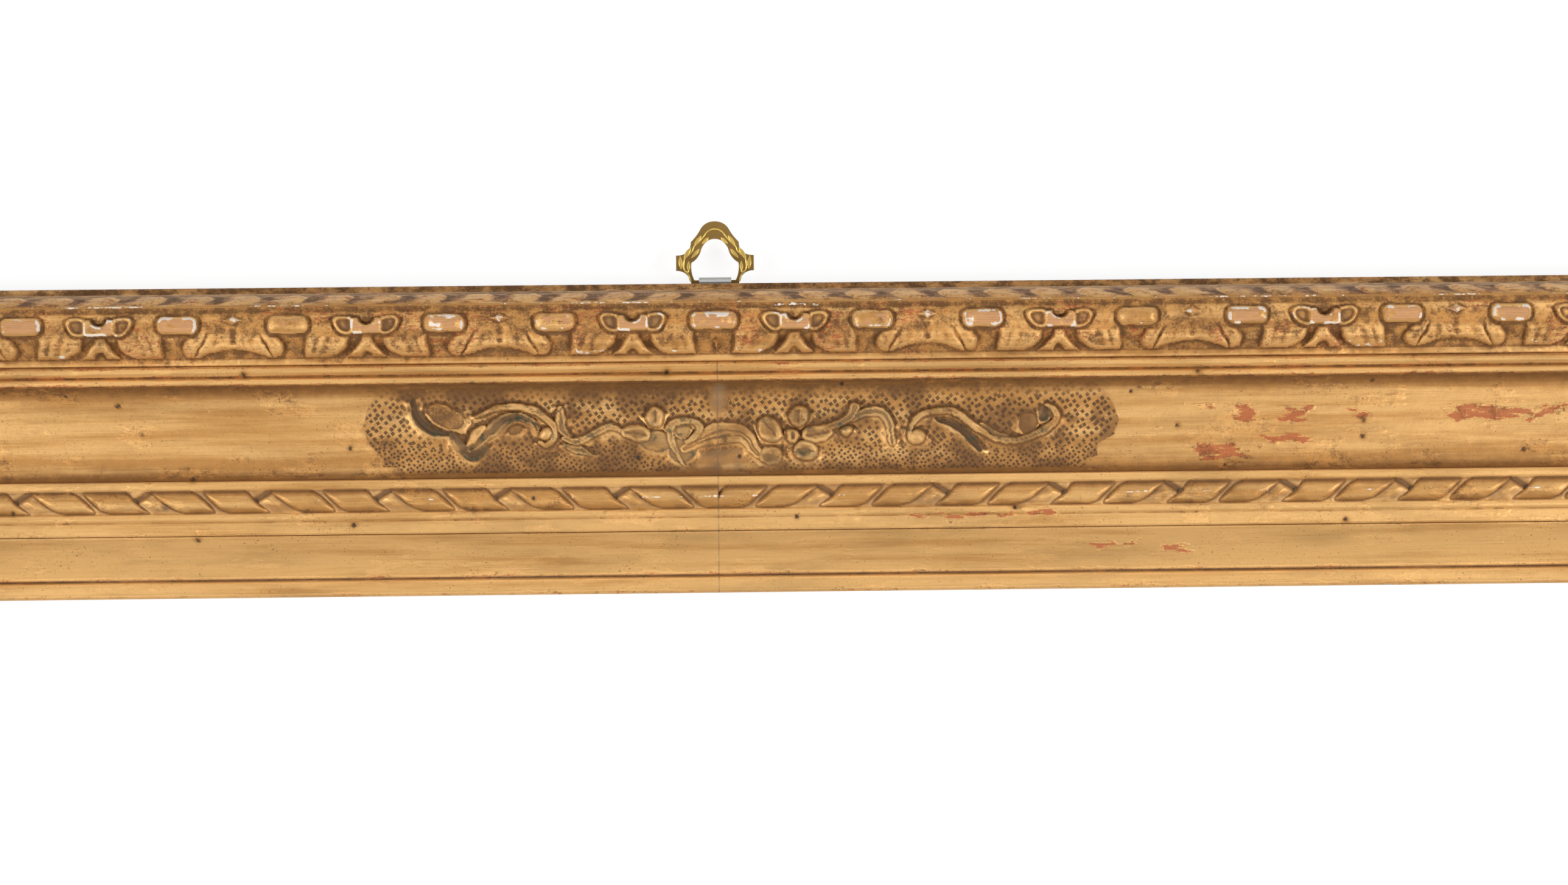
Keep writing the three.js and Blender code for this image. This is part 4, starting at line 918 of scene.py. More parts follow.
def ornament_forms(along, across):
    """The petals and scrolls: each with the depth inside it, its half width and its vein"""
    for petal in PETALS:
        cos, sin = math.cos(math.radians(petal.turn)), math.sin(math.radians(petal.turn))
        right, down = along - petal.middle[0], across - petal.middle[1]
        x, y = right * cos + down * sin, down * cos - right * sin
        vein = ridge(y if petal.axes[0] > petal.axes[1] else x, 0.3) * (petal.scoop > 0.2)
        yield petal, ellipse(x, y, *petal.axes), min(petal.axes), vein
    for scroll in SCROLLS:
        distance, share = near_line(along, across, smooth_line(scroll.line))
        width = np.interp(share, np.linspace(0, 1, len(scroll.widths)), scroll.widths)
        yield scroll, width - distance, width, 0.6 * ridge(distance - 0.2 * width, 0.25)


def ornament(along, across):
    """Relief of the scrolls and petals in the panel, the depth inside them, where that depth grows
    inwards, the soft foot below them, and their stain"""
    bent_along = along + 0.4 * wander(along, across, 3.6, 51) + 0.2 * wander(along, across, 1.5, 52)
    bent_across = across + 0.4 * wander(along, across, 3.6, 53) + 0.2 * wander(along, across, 1.5, 54)
    relief = np.zeros(along.shape)
    stain = np.zeros(along.shape)
    inside = np.full(along.shape, FAR_OUTSIDE)
    for form, depth, width, vein in ornament_forms(bent_along, bent_across):
        middle = ease(depth / width, 0.2, 0.9)
        top = form.height * (0.35 * cushion(depth + 0.15, 0.5) + 0.85 * cushion(depth, width))
        top -= (form.height * form.scoop + 0.4 * vein) * middle
        covered = ease(depth, -0.15, 0.2)
        higher = np.where((top > relief) | (form.scoop > 1), covered, 0)
        relief += (top - relief) * higher
        stain += (form.stain - stain) * higher
        inside = np.maximum(inside, depth)
    upper = ease(np.gradient(inside, axis=1), -0.05, 0.25)
    skirt = ridge(np.minimum(inside, 0), 1.8) * (1 - upper)
    relief = np.maximum(relief, 0.75 * skirt * (inside < 0.3))
    return relief, inside, upper, skirt, stain


def hollow(length, along, rows, sizes):
    """Two beads, and the hollow with the punched cartouche"""
    carved = plain_surface(along, rows)
    seed = 11 + 10 * length.side
    column_step = column_steps(along).min()
    across = carved.across
    # Painted shade in the creases, at the foot of the beads and between them, and under the upper bead at the
    # top of the hollow, which also holds toning; the hollow also grows darker towards its lower edge
    low = hollowness(carved.height, column_step, rows.step, 2.2)
    carved.painted_shade_and_toning = np.clip(low / 2.6, 0, 0.5) + 0.15 - 0.16 * (across < HOLLOW_AT)
    carved.painted_shade_and_toning += 0.62 * (across > HOLLOW_AT - 0.4) * (1 - ease(across, HOLLOW_AT, HOLLOW_SHADE_TO))
    carved.painted_shade_and_toning += 0.30 * ease(across, *HOLLOW_END) + 0.12 * ease(across, *LOWER_HOLLOW)
    carved.painted_shade_and_toning += 0.3 * ridge(across - BEADS_AT, 0.3) + 0.35 * ridge(across - BETWEEN_BEADS, 0.3)
    carved.bole = 0.17 + rubbed_lines(across, BEAD_RUBS)

    # The panel is sunk, and the ornament stands up in it
    edge = cartouche_edge(along, across)
    relief, inside, upper, skirt, stain = ornament(along, across)
    panel = ease(edge, -0.2, 0.5)
    lump = 0.5 * wander(along, across, 4.0, seed) + 0.3 * wander(along, across, 1.8, seed + 1)
    relief *= panel * (1 + 0.25 * lump)
    carved.height += relief - 0.22 * panel - 0.15 * ridge(edge, 0.35)
    carved.height += 0.06 * wander(along, across, 12.0, seed + 2)

    # Punch marks leave the ornament clear, and old dirt lies in patches over the panel; painted shade and
    # highlights follow the ornament's relief, and dark lines run along its upper edges
    clear = ease(-inside, 0.1, 0.7) * (1 - 0.8 * skirt)
    carved.punch = panel * clear * (0.3 + 0.7 * ease(across, *PUNCH_FADE))
    haze = ease(wander(along, across, 9.0, seed + 4) + 0.5 * wander(along, across, 3.0, seed + 5), -0.6, 0.8)
    painted_shade_and_highlight = np.clip(1.6 * creases(relief, column_step, rows.step), -0.45, 0.5)
    on_form = ease(inside, -0.2, 0.4)
    carved.painted_shade_and_toning += panel * (painted_shade_and_highlight + 0.5 * upper * ridge(inside + 0.4, 0.5) + 0.05 + 0.5 * haze)
    carved.painted_shade_and_toning += 0.22 * on_form * panel
    carved.bole += (0.10 * on_form - 0.04) * panel
    carved.stain = panel * (stain + 0.12 * on_form) * (1 + 0.6 * lump)
    carved.leaf_edge = edge
    carved.form_edge = np.where(panel > 0.5, inside, FAR_OUTSIDE)
    carved.form_shade_line = 0.25 + 0.75 * upper

    # Filler over the seam, and a smeared repair beside it
    if length.side == 0:
        fill = ridge(along - 0.5, 2.6) * between(across, *FILLED_SPAN)
        repair = ridge(along - 3, 14) * ease(across, *REPAIR_FROM) * (relief < 0.3)
        carved.grime = np.maximum(0.9 * fill, 0.5 * repair)
        carved.punch *= 1 - ease(carved.grime, 0.1, 0.3)
    return finish_plain(length, along, carved)


def finish_plain(length, along, carved):
    """Rubbed places, holes and the filled seam, on the plain members"""
    loose = wander(along / 2.5, carved.across, 1.3, 60 + length.side)
    loose += 0.8 * wander(along / 4, carved.across, 0.55, 70 + length.side)
    if length.side == 0:
        for left, right, outer, inner in RUBBED_PLACES:
            from_ends = np.minimum(along - left, right - along) / 3
            from_sides = np.minimum(carved.across - outer, inner - carved.across)
            inside = np.minimum(from_ends, from_sides)
            carved.bole = np.maximum(carved.bole, 0.72 * ease(inside + 0.9 * loose, -0.6, 1.1))
        carved.grime = np.maximum(carved.grime, 0.7 * ridge(along, 0.4))
        carved.painted_shade_and_toning += 0.3 * ridge(along, 0.22)
    else:
        broad = wander(along / 3, carved.across, 6.0, 90 + length.side)
        carved.bole = np.maximum(carved.bole, 0.7 * ease(broad + 0.2 * loose, 0.5, 0.85))
    thinned = wander(along / 2.2, carved.across, 5.0, 80 + length.side)
    carved.bole += 0.15 * ease(thinned + 0.3 * loose, 0.1, 0.7)
    add_holes(length, along, carved)
    return carved


# The ribbon and the plain band

def ribbon(length, along, rows, sizes):
    """Ribbon wound round a stick between two fillets, and the plain band"""
    carved = plain_surface(along, rows)
    seed = 23 + 10 * length.side
    low_half = length.on_low_half(along)
    first = np.where(low_half, FIRST_TURN_LEFT, FIRST_TURN_RIGHT)
    pitch = np.where(low_half, TURN_PITCH_LEFT, TURN_PITCH_RIGHT)
    half = (PLAIN_BAND_AT - RIBBON_AT) / 2
    off_middle = carved.across - (RIBBON_AT + PLAIN_BAND_AT) / 2
    side = off_middle / half
    rough = wander(along, carved.across, 2.2, seed)

    # Each turn leans across the stick: a narrow one has straight edges, a wide one swells between the sticks
    lean = np.abs(along) + sizes.ribbon_lean * off_middle
    turn = np.floor((lean - first) / pitch + 0.5)
    from_turn = lean - first - turn * pitch
    narrow = turn % 2 == 0
    waist = sizes.wide_turn / MM / 2
    low_edge = waist + 1.4 + 0.9 * side + 0.9 * np.clip(side, 0, 1) ** 2
    high_edge = waist + 1.3 - 1.8 * side**2
    edge = np.where(narrow, sizes.narrow_turn / MM / 2, np.where(from_turn < 0, low_edge, high_edge))
    clear = (np.abs(from_turn) - edge) / math.hypot(1, sizes.ribbon_lean) + 0.12 * rough

    # Round lengths of stick, the ribbon flush with the members beside it, and the fold of a wide turn
    channel = ease(1.02 - np.abs(side), -0.02, 0.16)
    stick_depth = inside_both(clear, half - 0.1 - np.abs(off_middle), STICK_CORNER)
    on_stick = ease(stick_depth, -0.1, 0.35)
    round_stick = np.sqrt(np.clip(1 - (side / 1.02) ** 2, 0, 1))
    stick = STICK_FOOT + STICK_HEIGHT * round_stick * (0.5 + 0.5 * cushion(clear, 2.2))
    from_fold = (from_turn - FOLD_AT - FOLD_LEAN * off_middle) / FOLD_STRETCH
    fold = np.where(narrow | (off_middle > 0.6), 0, ridge(from_fold - 0.35, 0.6))
    bulge = np.where(narrow, 0, ridge(np.hypot(from_turn + 0.8, off_middle - 0.3), 1.9))
    band = RIBBON_FACE - 0.2 * narrow * (1 - side**2) + 0.8 * bulge - 1.2 * fold + 0.12 * rough
    wound = band + (stick - band) * ease(stick_depth, -0.25, 0.25) - 0.3 * ridge(stick_depth, 0.35)
    carved.height += (wound - carved.height) * channel
    carved.height += 0.06 * wander(along, carved.across, 5.0, seed + 1)

    # Painted shade in the creases, on the sticks' upper sides, in the folds and in the step of the band; dark
    # streaks along the sticks' lower edges, dust beside the sticks, and white on the sticks' worn crests
    low = creases(carved.height, column_steps(along).min(), rows.step)
    streak = wander(along / 4, carved.across, 1.0, seed + 2)
    stick_streaks_and_shade = 0.3 * ease(side, 0.35, 0.9) * ease(streak, -0.4, 0.4) + 0.5 * ease(-side, 0.3, 0.95)
    carved.painted_shade_and_toning = np.clip(low / 0.9, -0.1, 0.5) - 0.05 + 0.38 * channel
    carved.painted_shade_and_toning += on_stick * stick_streaks_and_shade + 0.4 * fold * channel * (1 - on_stick)
    carved.painted_shade_and_toning += 0.30 * ridge(carved.across - BAND_STEP_AT, 0.25) * ease(streak, -0.6, 0.4)
    carved.grime = 0.5 * channel * (1 - ease(stick_depth, -0.2, 0.3)) * (1 - 0.7 * bulge)
    carved.form_edge = np.where(channel > 0, stick_depth, FAR_OUTSIDE)
    carved.form_shade_line = 0.35 + 0.5 * ease(np.abs(side), 0.5, 0.9)
    carved.bole = 0.17 + 0.06 * ease(-low, 0.1, 0.45)
    carved.gesso = 0.60 * ridge(side + 0.05, 0.16) * on_stick * ease(streak, 0.25, 0.6)
    return finish_plain(length, along, carved)


# The cove and bead at the sight edge

def sight_edge(length, along, rows, sizes):
    """Cove, groove and bead of the slip"""
    carved = plain_surface(along, rows)
    seed = 31 + 10 * length.side
    # Painted shade in the creases, and a dark line at the joint of slip and rail
    low = hollowness(carved.height, column_steps(along).mean(), rows.step, 1.2)
    loose = ease(wander(along, carved.height, 7.0, seed), 0.3, 0.7)
    carved.painted_shade_and_toning = np.clip(low / 0.9, 0, 0.8) - 0.08 + 0.5 * ridge(carved.across - SLIP_AT, 0.4)
    carved.bole = 0.14 + rubbed_lines(carved.across, SIGHT_RUBS)
    carved.gesso = 0.5 * ridge(carved.across - SIGHT_LINE, 0.5) * loose
    carved.height += 0.05 * wander(along, carved.across, 14.0, seed + 1) * (carved.across < SIGHT_LINE - 1.2)
    return finish_plain(length, along, carved)


# Meshes

def take_only(piece):
    """Selects one piece and makes it the active one"""
    bpy.ops.object.select_all(action="DESELECT")
    piece.select_set(True)
    bpy.context.view_layer.objects.active = piece


def merge_and_turn_outwards(threshold, fill=False):
    """Merges the active mesh's doubles, closes its holes where asked, and points its faces outwards"""
    bpy.ops.object.mode_set(mode="EDIT")
    bpy.ops.mesh.select_all(action="SELECT")
    bpy.ops.mesh.remove_doubles(threshold=threshold)
    if fill:
        bpy.ops.mesh.fill_holes(sides=0)
    bpy.ops.mesh.normals_make_consistent(inside=False)
    bpy.ops.object.mode_set(mode="OBJECT")


def add_values(mesh, name, values):
    """Stores values on a mesh: three make a vector, four a colour"""
    kind, field = {3: ("FLOAT_VECTOR", "vector"), 4: ("FLOAT_COLOR", "color")}[values.shape[-1]]
    layer = mesh.attributes.new(name, kind, "POINT")
    layer.data.foreach_set(field, np.ascontiguousarray(values, np.float32).ravel())


def all_round(front, back):
    """A closed section's values: front rows, back rows, and the first row again"""
    behind = np.broadcast_to(back, (len(front), len(back)))
    return np.hstack([front, behind, front[:, :1]]).T


def make_skin(context, length, label, section, back, carve, fine_reach, plain_rows=(0, 0)):
    """A closed skin of gesso and gold along one length: carved in front, plain inside the wood. On the
    top side its mesh is fine within a reach of the middle; plain rows need no fine steps."""
    sizes = context.scene.frame_sizes
    coarser = 1
    plain = sizes.plain_step / MM * coarser
    fine = sizes.fine_step / MM * coarser if length.side == 0 else plain
    gap = sizes.joint_gap / MM
    rows = rows_along(section, fine, *plain_rows, plain)
    low, high = length.along(np.array([0, 1]), rows.across.mean(), gap)
    near = np.abs(np.linspace(low, high, PACE_PLACES)) < fine_reach
    share = even_shares(high - low, np.where(near, 1 / fine, 1 / plain))[:, None]
    carved = carve(length, length.along(share, rows.across[None, :], gap), rows, sizes)
    back_across, back_height = np.array(back).T
    across = all_round(carved.across, back_across)
    height = all_round(carved.height, back_height)
    along = length.along(share.T, across, gap)

    bpy.ops.object.select_all(action="DESELECT")
    bpy.ops.mesh.primitive_grid_add(
        x_subdivisions=len(share) - 1, y_subdivisions=len(across) - 1, size=1, calc_uvs=False)
    piece = context.object
    piece.name = piece.data.name = f"{length.name}_{label}"
    mesh = piece.data
    mesh.vertices.foreach_set("co", length.place(along, across, height).astype(np.float32).ravel())
    place = np.stack([along * MM + SIDE_SHIFT * length.side, across * MM, height * MM], axis=-1)
    add_values(mesh, "place", place)
    unworn = np.zeros(len(back))
    for name, values, limit in (
        ("wear", (carved.bole, carved.gesso, carved.wood, carved.grime), (0, 1)),
        ("marks", (carved.painted_shade_and_toning, carved.punch, carved.stain, carved.hole), (0, 1)),
        ("edges", (carved.leaf_edge, carved.form_edge, carved.form_shade_line), (-np.inf, np.inf)),
    ):
        stacked = np.stack([all_round(value, unworn) for value in values], axis=-1)
        add_values(mesh, name, np.clip(stacked, *limit))
    mesh.update()

    merge_and_turn_outwards(1e-7, fill=True)
    bpy.ops.object.shade_smooth_by_angle(angle=math.radians(75))
    mesh.materials.append(gilding())
    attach(piece, "frame")
    return piece


# Shader nodes

@dataclass
class Layer:
    """A layer of a finish: the limits of a value between which it comes to show, and how far it covers"""

    low: float
    high: float
    cover: float = 1.0


class Nodes:
    """A shader's tree, with short names for the nodes that the finishes are made of"""

    def __init__(self, tree):
        self.tree = tree

    def add(self, kind, inputs=None, **settings):
        """A new node's outputs; an input is a value or another node's output"""
        made = self.tree.nodes.new(kind)
        for name, value in settings.items():
            setattr(made, name, value)
        for name, value in (inputs or {}).items():
            if isinstance(value, bpy.types.NodeSocket):
                self.join(value, made.inputs[name])
            else:
                made.inputs[name].default_value = value
        return made.outputs

    def join(self, output, socket):
        self.tree.links.new(output, socket)

    def math(self, operation, first, second, clamp=False):
        settings = {"operation": operation, "use_clamp": clamp}
        return self.add("ShaderNodeMath", {0: first, 1: second}, **settings)[0]

    def plus(self, first, second):
        return self.math("ADD", first, second)

    def minus(self, first, second, clamp=False):
        return self.math("SUBTRACT", first, second, clamp)

    def times(self, first, second):
        return self.math("MULTIPLY", first, second)

    def over(self, first, second):
        return self.math("DIVIDE", first, second)

    def most(self, first, *others):
        """The largest of some values"""
        for other in others:
            first = self.math("MAXIMUM", first, other)
        return first

    def swing(self, noise, strength):
        """A noise about zero"""
        return self.times(self.minus(noise, 0.5), strength)

    def varied(self, value, noise, strength):
        """A value that a noise raises and lowers"""
        return self.plus(value, self.swing(noise, strength))

    def shown(self, value, layer):
        """How far a layer covers at a value"""
        share = self.add(
            "ShaderNodeMapRange", {"Value": value, "From Min": layer.low, "From Max": layer.high},
            interpolation_type="SMOOTHSTEP")[0]
        return share if layer.cover == 1.0 else self.times(share, layer.cover)

    def mix(self, share, below, above):
        return self.add("ShaderNodeMix", {0: share, 6: below, 7: above}, data_type="RGBA")[2]

    def stretched(self, vector, scale):
        return self.add("ShaderNodeMapping", {"Vector": vector, "Scale": scale})[0]

    def grain(self, vector, scale=1.0, detail=3.0, roughness=0.55):
        inputs = {"Vector": vector, "Scale": scale, "Detail": detail, "Roughness": roughness}
        return self.add("ShaderNodeTexNoise", inputs)[0]

    def bump(self, height, strength, distance):
        return self.add("ShaderNodeBump", {"Height": height, "Strength": strength, "Distance": distance})[0]

    def split(self, vector):
        return self.add("ShaderNodeSeparateXYZ", {"Vector": vector})

    def attribute(self, name):
        return self.add("ShaderNodeAttribute", attribute_name=name)

    def object_place(self):
        return self.add("ShaderNodeTexCoord")["Object"]

    def group(self, tree, inputs):
        return self.add("ShaderNodeGroup", inputs, node_tree=tree)


def new_group(name, inputs, outputs):
    """An empty group of nodes: its nodes, its input sockets and its output sockets"""
    tree = bpy.data.node_groups.new(name, "ShaderNodeTree")
    for title, kind in inputs.items():
        tree.interface.new_socket(title, in_out="INPUT", socket_type=f"NodeSocket{kind}")
    for title in outputs:
        tree.interface.new_socket(title, in_out="OUTPUT", socket_type="NodeSocketFloat")
    given = tree.nodes.new("NodeGroupInput").outputs
    result = tree.nodes.new("NodeGroupOutput").inputs
    return Nodes(tree), given, result


def streaks_group():
    """Long fine streaks along a length, as brush and cloth leave them"""
    name = "Streaks"
    if name in bpy.data.node_groups:
        return bpy.data.node_groups[name]
    nodes, given, result = new_group(name, {"Vector": "Vector"}, ("Broad", "Fine"))
    broad = nodes.stretched(given["Vector"], (16, 240, 240))
    fine = nodes.stretched(given["Vector"], (38, 2400, 2400))
    nodes.join(nodes.grain(broad, detail=4), result["Broad"])
    nodes.join(nodes.grain(fine, detail=5, roughness=0.65), result["Fine"])
    return nodes.tree


def specks_group():
    """Small dark specks, more of them in some places than in others"""
    name = "Specks"
    if name in bpy.data.node_groups:
        return bpy.data.node_groups[name]
    inputs = {"Vector": "Vector", "Size": "Float", "Amount": "Float"}
    nodes, given, result = new_group(name, inputs, ("Mask",))
    dots = nodes.grain(given["Vector"], nodes.over(1.0, given["Size"]), detail=1)
    crowd = nodes.grain(given["Vector"], scale=60, detail=2)
    level = nodes.varied(dots, crowd, 0.35)
    floor = nodes.minus(0.82, nodes.times(given["Amount"], 0.2))
    nodes.join(nodes.shown(nodes.minus(level, floor), SPECK_RIM), result["Mask"])
    return nodes.tree


def punch_group():
    """Small square dots in slanting rows, set by hand"""
    name = "Punch marks"
    if name in bpy.data.node_groups:
        return bpy.data.node_groups[name]
    nodes, given, result = new_group(name, {"Vector": "Vector", "Pitch": "Float"}, ("Mask",))
    slant = {"Vector": given["Vector"], "Rotation": (0, 0, PUNCH_SLANT)}
    turned = nodes.add("ShaderNodeMapping", slant)[0]
    rows = {"Vector": turned, "Scale": nodes.over(1.0, given["Pitch"]), "Randomness": 0.55}
    cells = nodes.add("ShaderNodeTexVoronoi", rows, voronoi_dimensions="2D", distance="CHEBYCHEV")
    worn = nodes.times(nodes.grain(given["Vector"], scale=330, detail=2), 0.16)
    size = nodes.plus(0.19, worn)
    nodes.join(nodes.shown(nodes.minus(size, cells["Distance"]), PUNCH_RIM), result["Mask"])
    return nodes.tree


def new_material(name):
    """A material with one Principled shader: the material, its nodes and the shader's sockets"""
    made = bpy.data.materials.new(name)
    made.use_nodes = True
    return made, Nodes(made.node_tree), made.node_tree.nodes["Principled BSDF"].inputs


# Materials

SPECK_RIM = Layer(-0.02, 0.05)
PUNCH_RIM = Layer(-0.05, 0.05)
PUNCH_SLANT = math.radians(36)
WIDE_PUNCH = 0.00195
CLOSE_PUNCH = 0.00140

# Layers of the gilding, from the leaf down to the wood
# The pale leaf layer also paints highlights on the crests, the toning layer paints shade in the creases as
# well as toning, the cut layers paint shade lines at the feet of cut forms, and the wood-in-creases layer
# paints shade on bare wood
PALE_LEAF_AND_HIGHLIGHT = Layer(0.02, 0.40)
THIN_LEAF = Layer(0.50, 0.74, 0.17)
TONED_CLOUD = Layer(0.45, 0.70, 0.22)
BATTERED_LEAF = Layer(0.22, 0.36)
RED_CLAY = Layer(0.46, 0.64, 0.80)
TONING_AND_SHADE = Layer(0.05, 1.0, 0.86)
CUT_OUTSIDE = Layer(-0.45, -0.15)
CUT_INSIDE = Layer(0.0, 0.22)
DARK_CRUMBS = Layer(0.60, 0.70, 0.45)
PALE_CRUMBS = Layer(0.40, 0.30, 0.35)
DUST = Layer(0.15, 0.9, 0.6)
CLOSE_PUNCHED = Layer(0.0515, 0.0520)
PATINA = Layer(0.02, 0.5, 0.36)
BLACK_STAIN = Layer(0.55, 0.95, 0.85)
GREEN_STAIN = Layer(0.12, 0.4)
GREEN_SPOTS = Layer(0.53, 0.65)
WHITE_CHIPS = Layer(0.50, 0.60)
WORN_TO_WOOD = Layer(0.48, 0.58)
WOOD_STREAKS = Layer(0.4, 0.65)
WOOD_IN_CREASES = Layer(0.15, 0.7, 0.4)


def read_skin(nodes):
    """What a skin's mesh says of each place, and the noises that break it up"""
    place = nodes.attribute("place")["Vector"]
    wear = nodes.attribute("wear")
    marks = nodes.attribute("marks")
    worn = nodes.add("ShaderNodeSeparateColor", {"Color": wear["Color"]})
    marked = nodes.add("ShaderNodeSeparateColor", {"Color": marks["Color"]})
    edges = nodes.split(nodes.attribute("edges")["Vector"])
    streaks = nodes.group(streaks_group(), {"Vector": place})
    return SimpleNamespace(
        place=place,
        bole=worn["Red"], gesso=worn["Green"], wood=worn["Blue"], grime=wear["Alpha"],
        painted_shade_and_toning=marked["Red"], punch=marked["Green"], stain=marked["Blue"], hole=marks["Alpha"],
        leaf_edge=edges["X"], form_edge=edges["Y"], form_shade_line=edges["Z"],
        broad=streaks["Broad"],
        fine=streaks["Fine"],
        cloud=nodes.grain(place, scale=26, detail=4),
        mottle=nodes.grain(place, scale=260, detail=4, roughness=0.6),
        fleck=nodes.grain(place, scale=900, detail=2, roughness=0.6),
        crumb=nodes.grain(place, scale=1300, detail=5, roughness=0.75),
        smear=nodes.grain(nodes.stretched(place, (260, 1100, 1100)), detail=6, roughness=0.72),
        battered=nodes.shown(worn["Red"], BATTERED_LEAF))


def sound_leaf(nodes, skin, colours):
    """Colour of the unworn leaf, from streak to streak, paler as a painted highlight on the crests"""
    tone_and_highlight = nodes.minus(nodes.times(skin.broad, 1.05), nodes.times(skin.fine, 0.18))
    tone_and_highlight = nodes.plus(tone_and_highlight, nodes.times(nodes.minus(-0.15, skin.painted_shade_and_toning), 0.6))
    leaf = nodes.mix(nodes.shown(tone_and_highlight, PALE_LEAF_AND_HIGHLIGHT), colours.gold, colours.pale_gold_and_highlight)
    leaf = nodes.mix(nodes.shown(skin.fine, THIN_LEAF), leaf, colours.toning_and_shade)
    clouds = nodes.grain(nodes.stretched(skin.place, (22, 95, 95)), detail=5, roughness=0.6)
    return nodes.mix(nodes.shown(clouds, TONED_CLOUD), leaf, colours.toning_and_shade)


def toning_and_painted_shade(nodes, skin):
    """How far brown toning and painted shade cover: both in creases, toning in blotches on battered leaf, and
    painted shade lines beside cut edges
    """
    blotches = nodes.varied(nodes.swing(skin.crumb, 1.8), skin.mottle, 2.2)
    settled = nodes.varied(skin.painted_shade_and_toning, skin.mottle, 0.55)
    settled = nodes.plus(settled, nodes.times(blotches, skin.battered))
    share = nodes.shown(settled, TONING_AND_SHADE)
    for depth, weight in ((skin.leaf_edge, 0.42), (skin.form_edge, skin.form_shade_line)):
        depth = nodes.varied(depth, skin.mottle, 0.5)
        outside = nodes.minus(1.0, nodes.shown(depth, CUT_INSIDE))
        cut = nodes.times(nodes.shown(depth, CUT_OUTSIDE), outside)
        share = nodes.most(share, nodes.times(cut, nodes.times(weight, 0.85)))
    return share


def punched_dots(nodes, skin):
    """Mask of the punched dots, which stand closer in the lower part of the panel"""
    wide = nodes.group(punch_group(), {"Vector": skin.place, "Pitch": WIDE_PUNCH})["Mask"]
    close = nodes.group(punch_group(), {"Vector": skin.place, "Pitch": CLOSE_PUNCH})["Mask"]
    inward = nodes.varied(nodes.split(skin.place)["Y"], skin.cloud, 0.012)
    lower = nodes.shown(inward, CLOSE_PUNCHED)
    dots = nodes.plus(nodes.times(wide, nodes.minus(1.0, lower)), nodes.times(close, lower))
    return nodes.times(dots, skin.punch)


def stained(nodes, skin, colours, surface, old):
    """Patina, black and green on the ornament of the panel"""
    surface = nodes.mix(old, surface, colours.patina)
    surface = nodes.mix(nodes.shown(skin.stain, BLACK_STAIN), surface, colours.punch)
    green = nodes.times(nodes.shown(skin.stain, GREEN_STAIN), nodes.shown(skin.mottle, GREEN_SPOTS))
    return nodes.mix(nodes.times(green, 0.75), surface, colours.verdigris)


def worn_wood(nodes, skin, colours):
    """Colour of the wood where the carving is worn through, darkened by painted shade in its creases"""
    wood = nodes.mix(nodes.shown(skin.fine, WOOD_STREAKS), colours.bare_wood, colours.old_wood)
    wood = nodes.mix(0.62, wood, colours.bare_wood)
    return nodes.mix(nodes.shown(skin.painted_shade_and_toning, WOOD_IN_CREASES), wood, colours.old_wood)


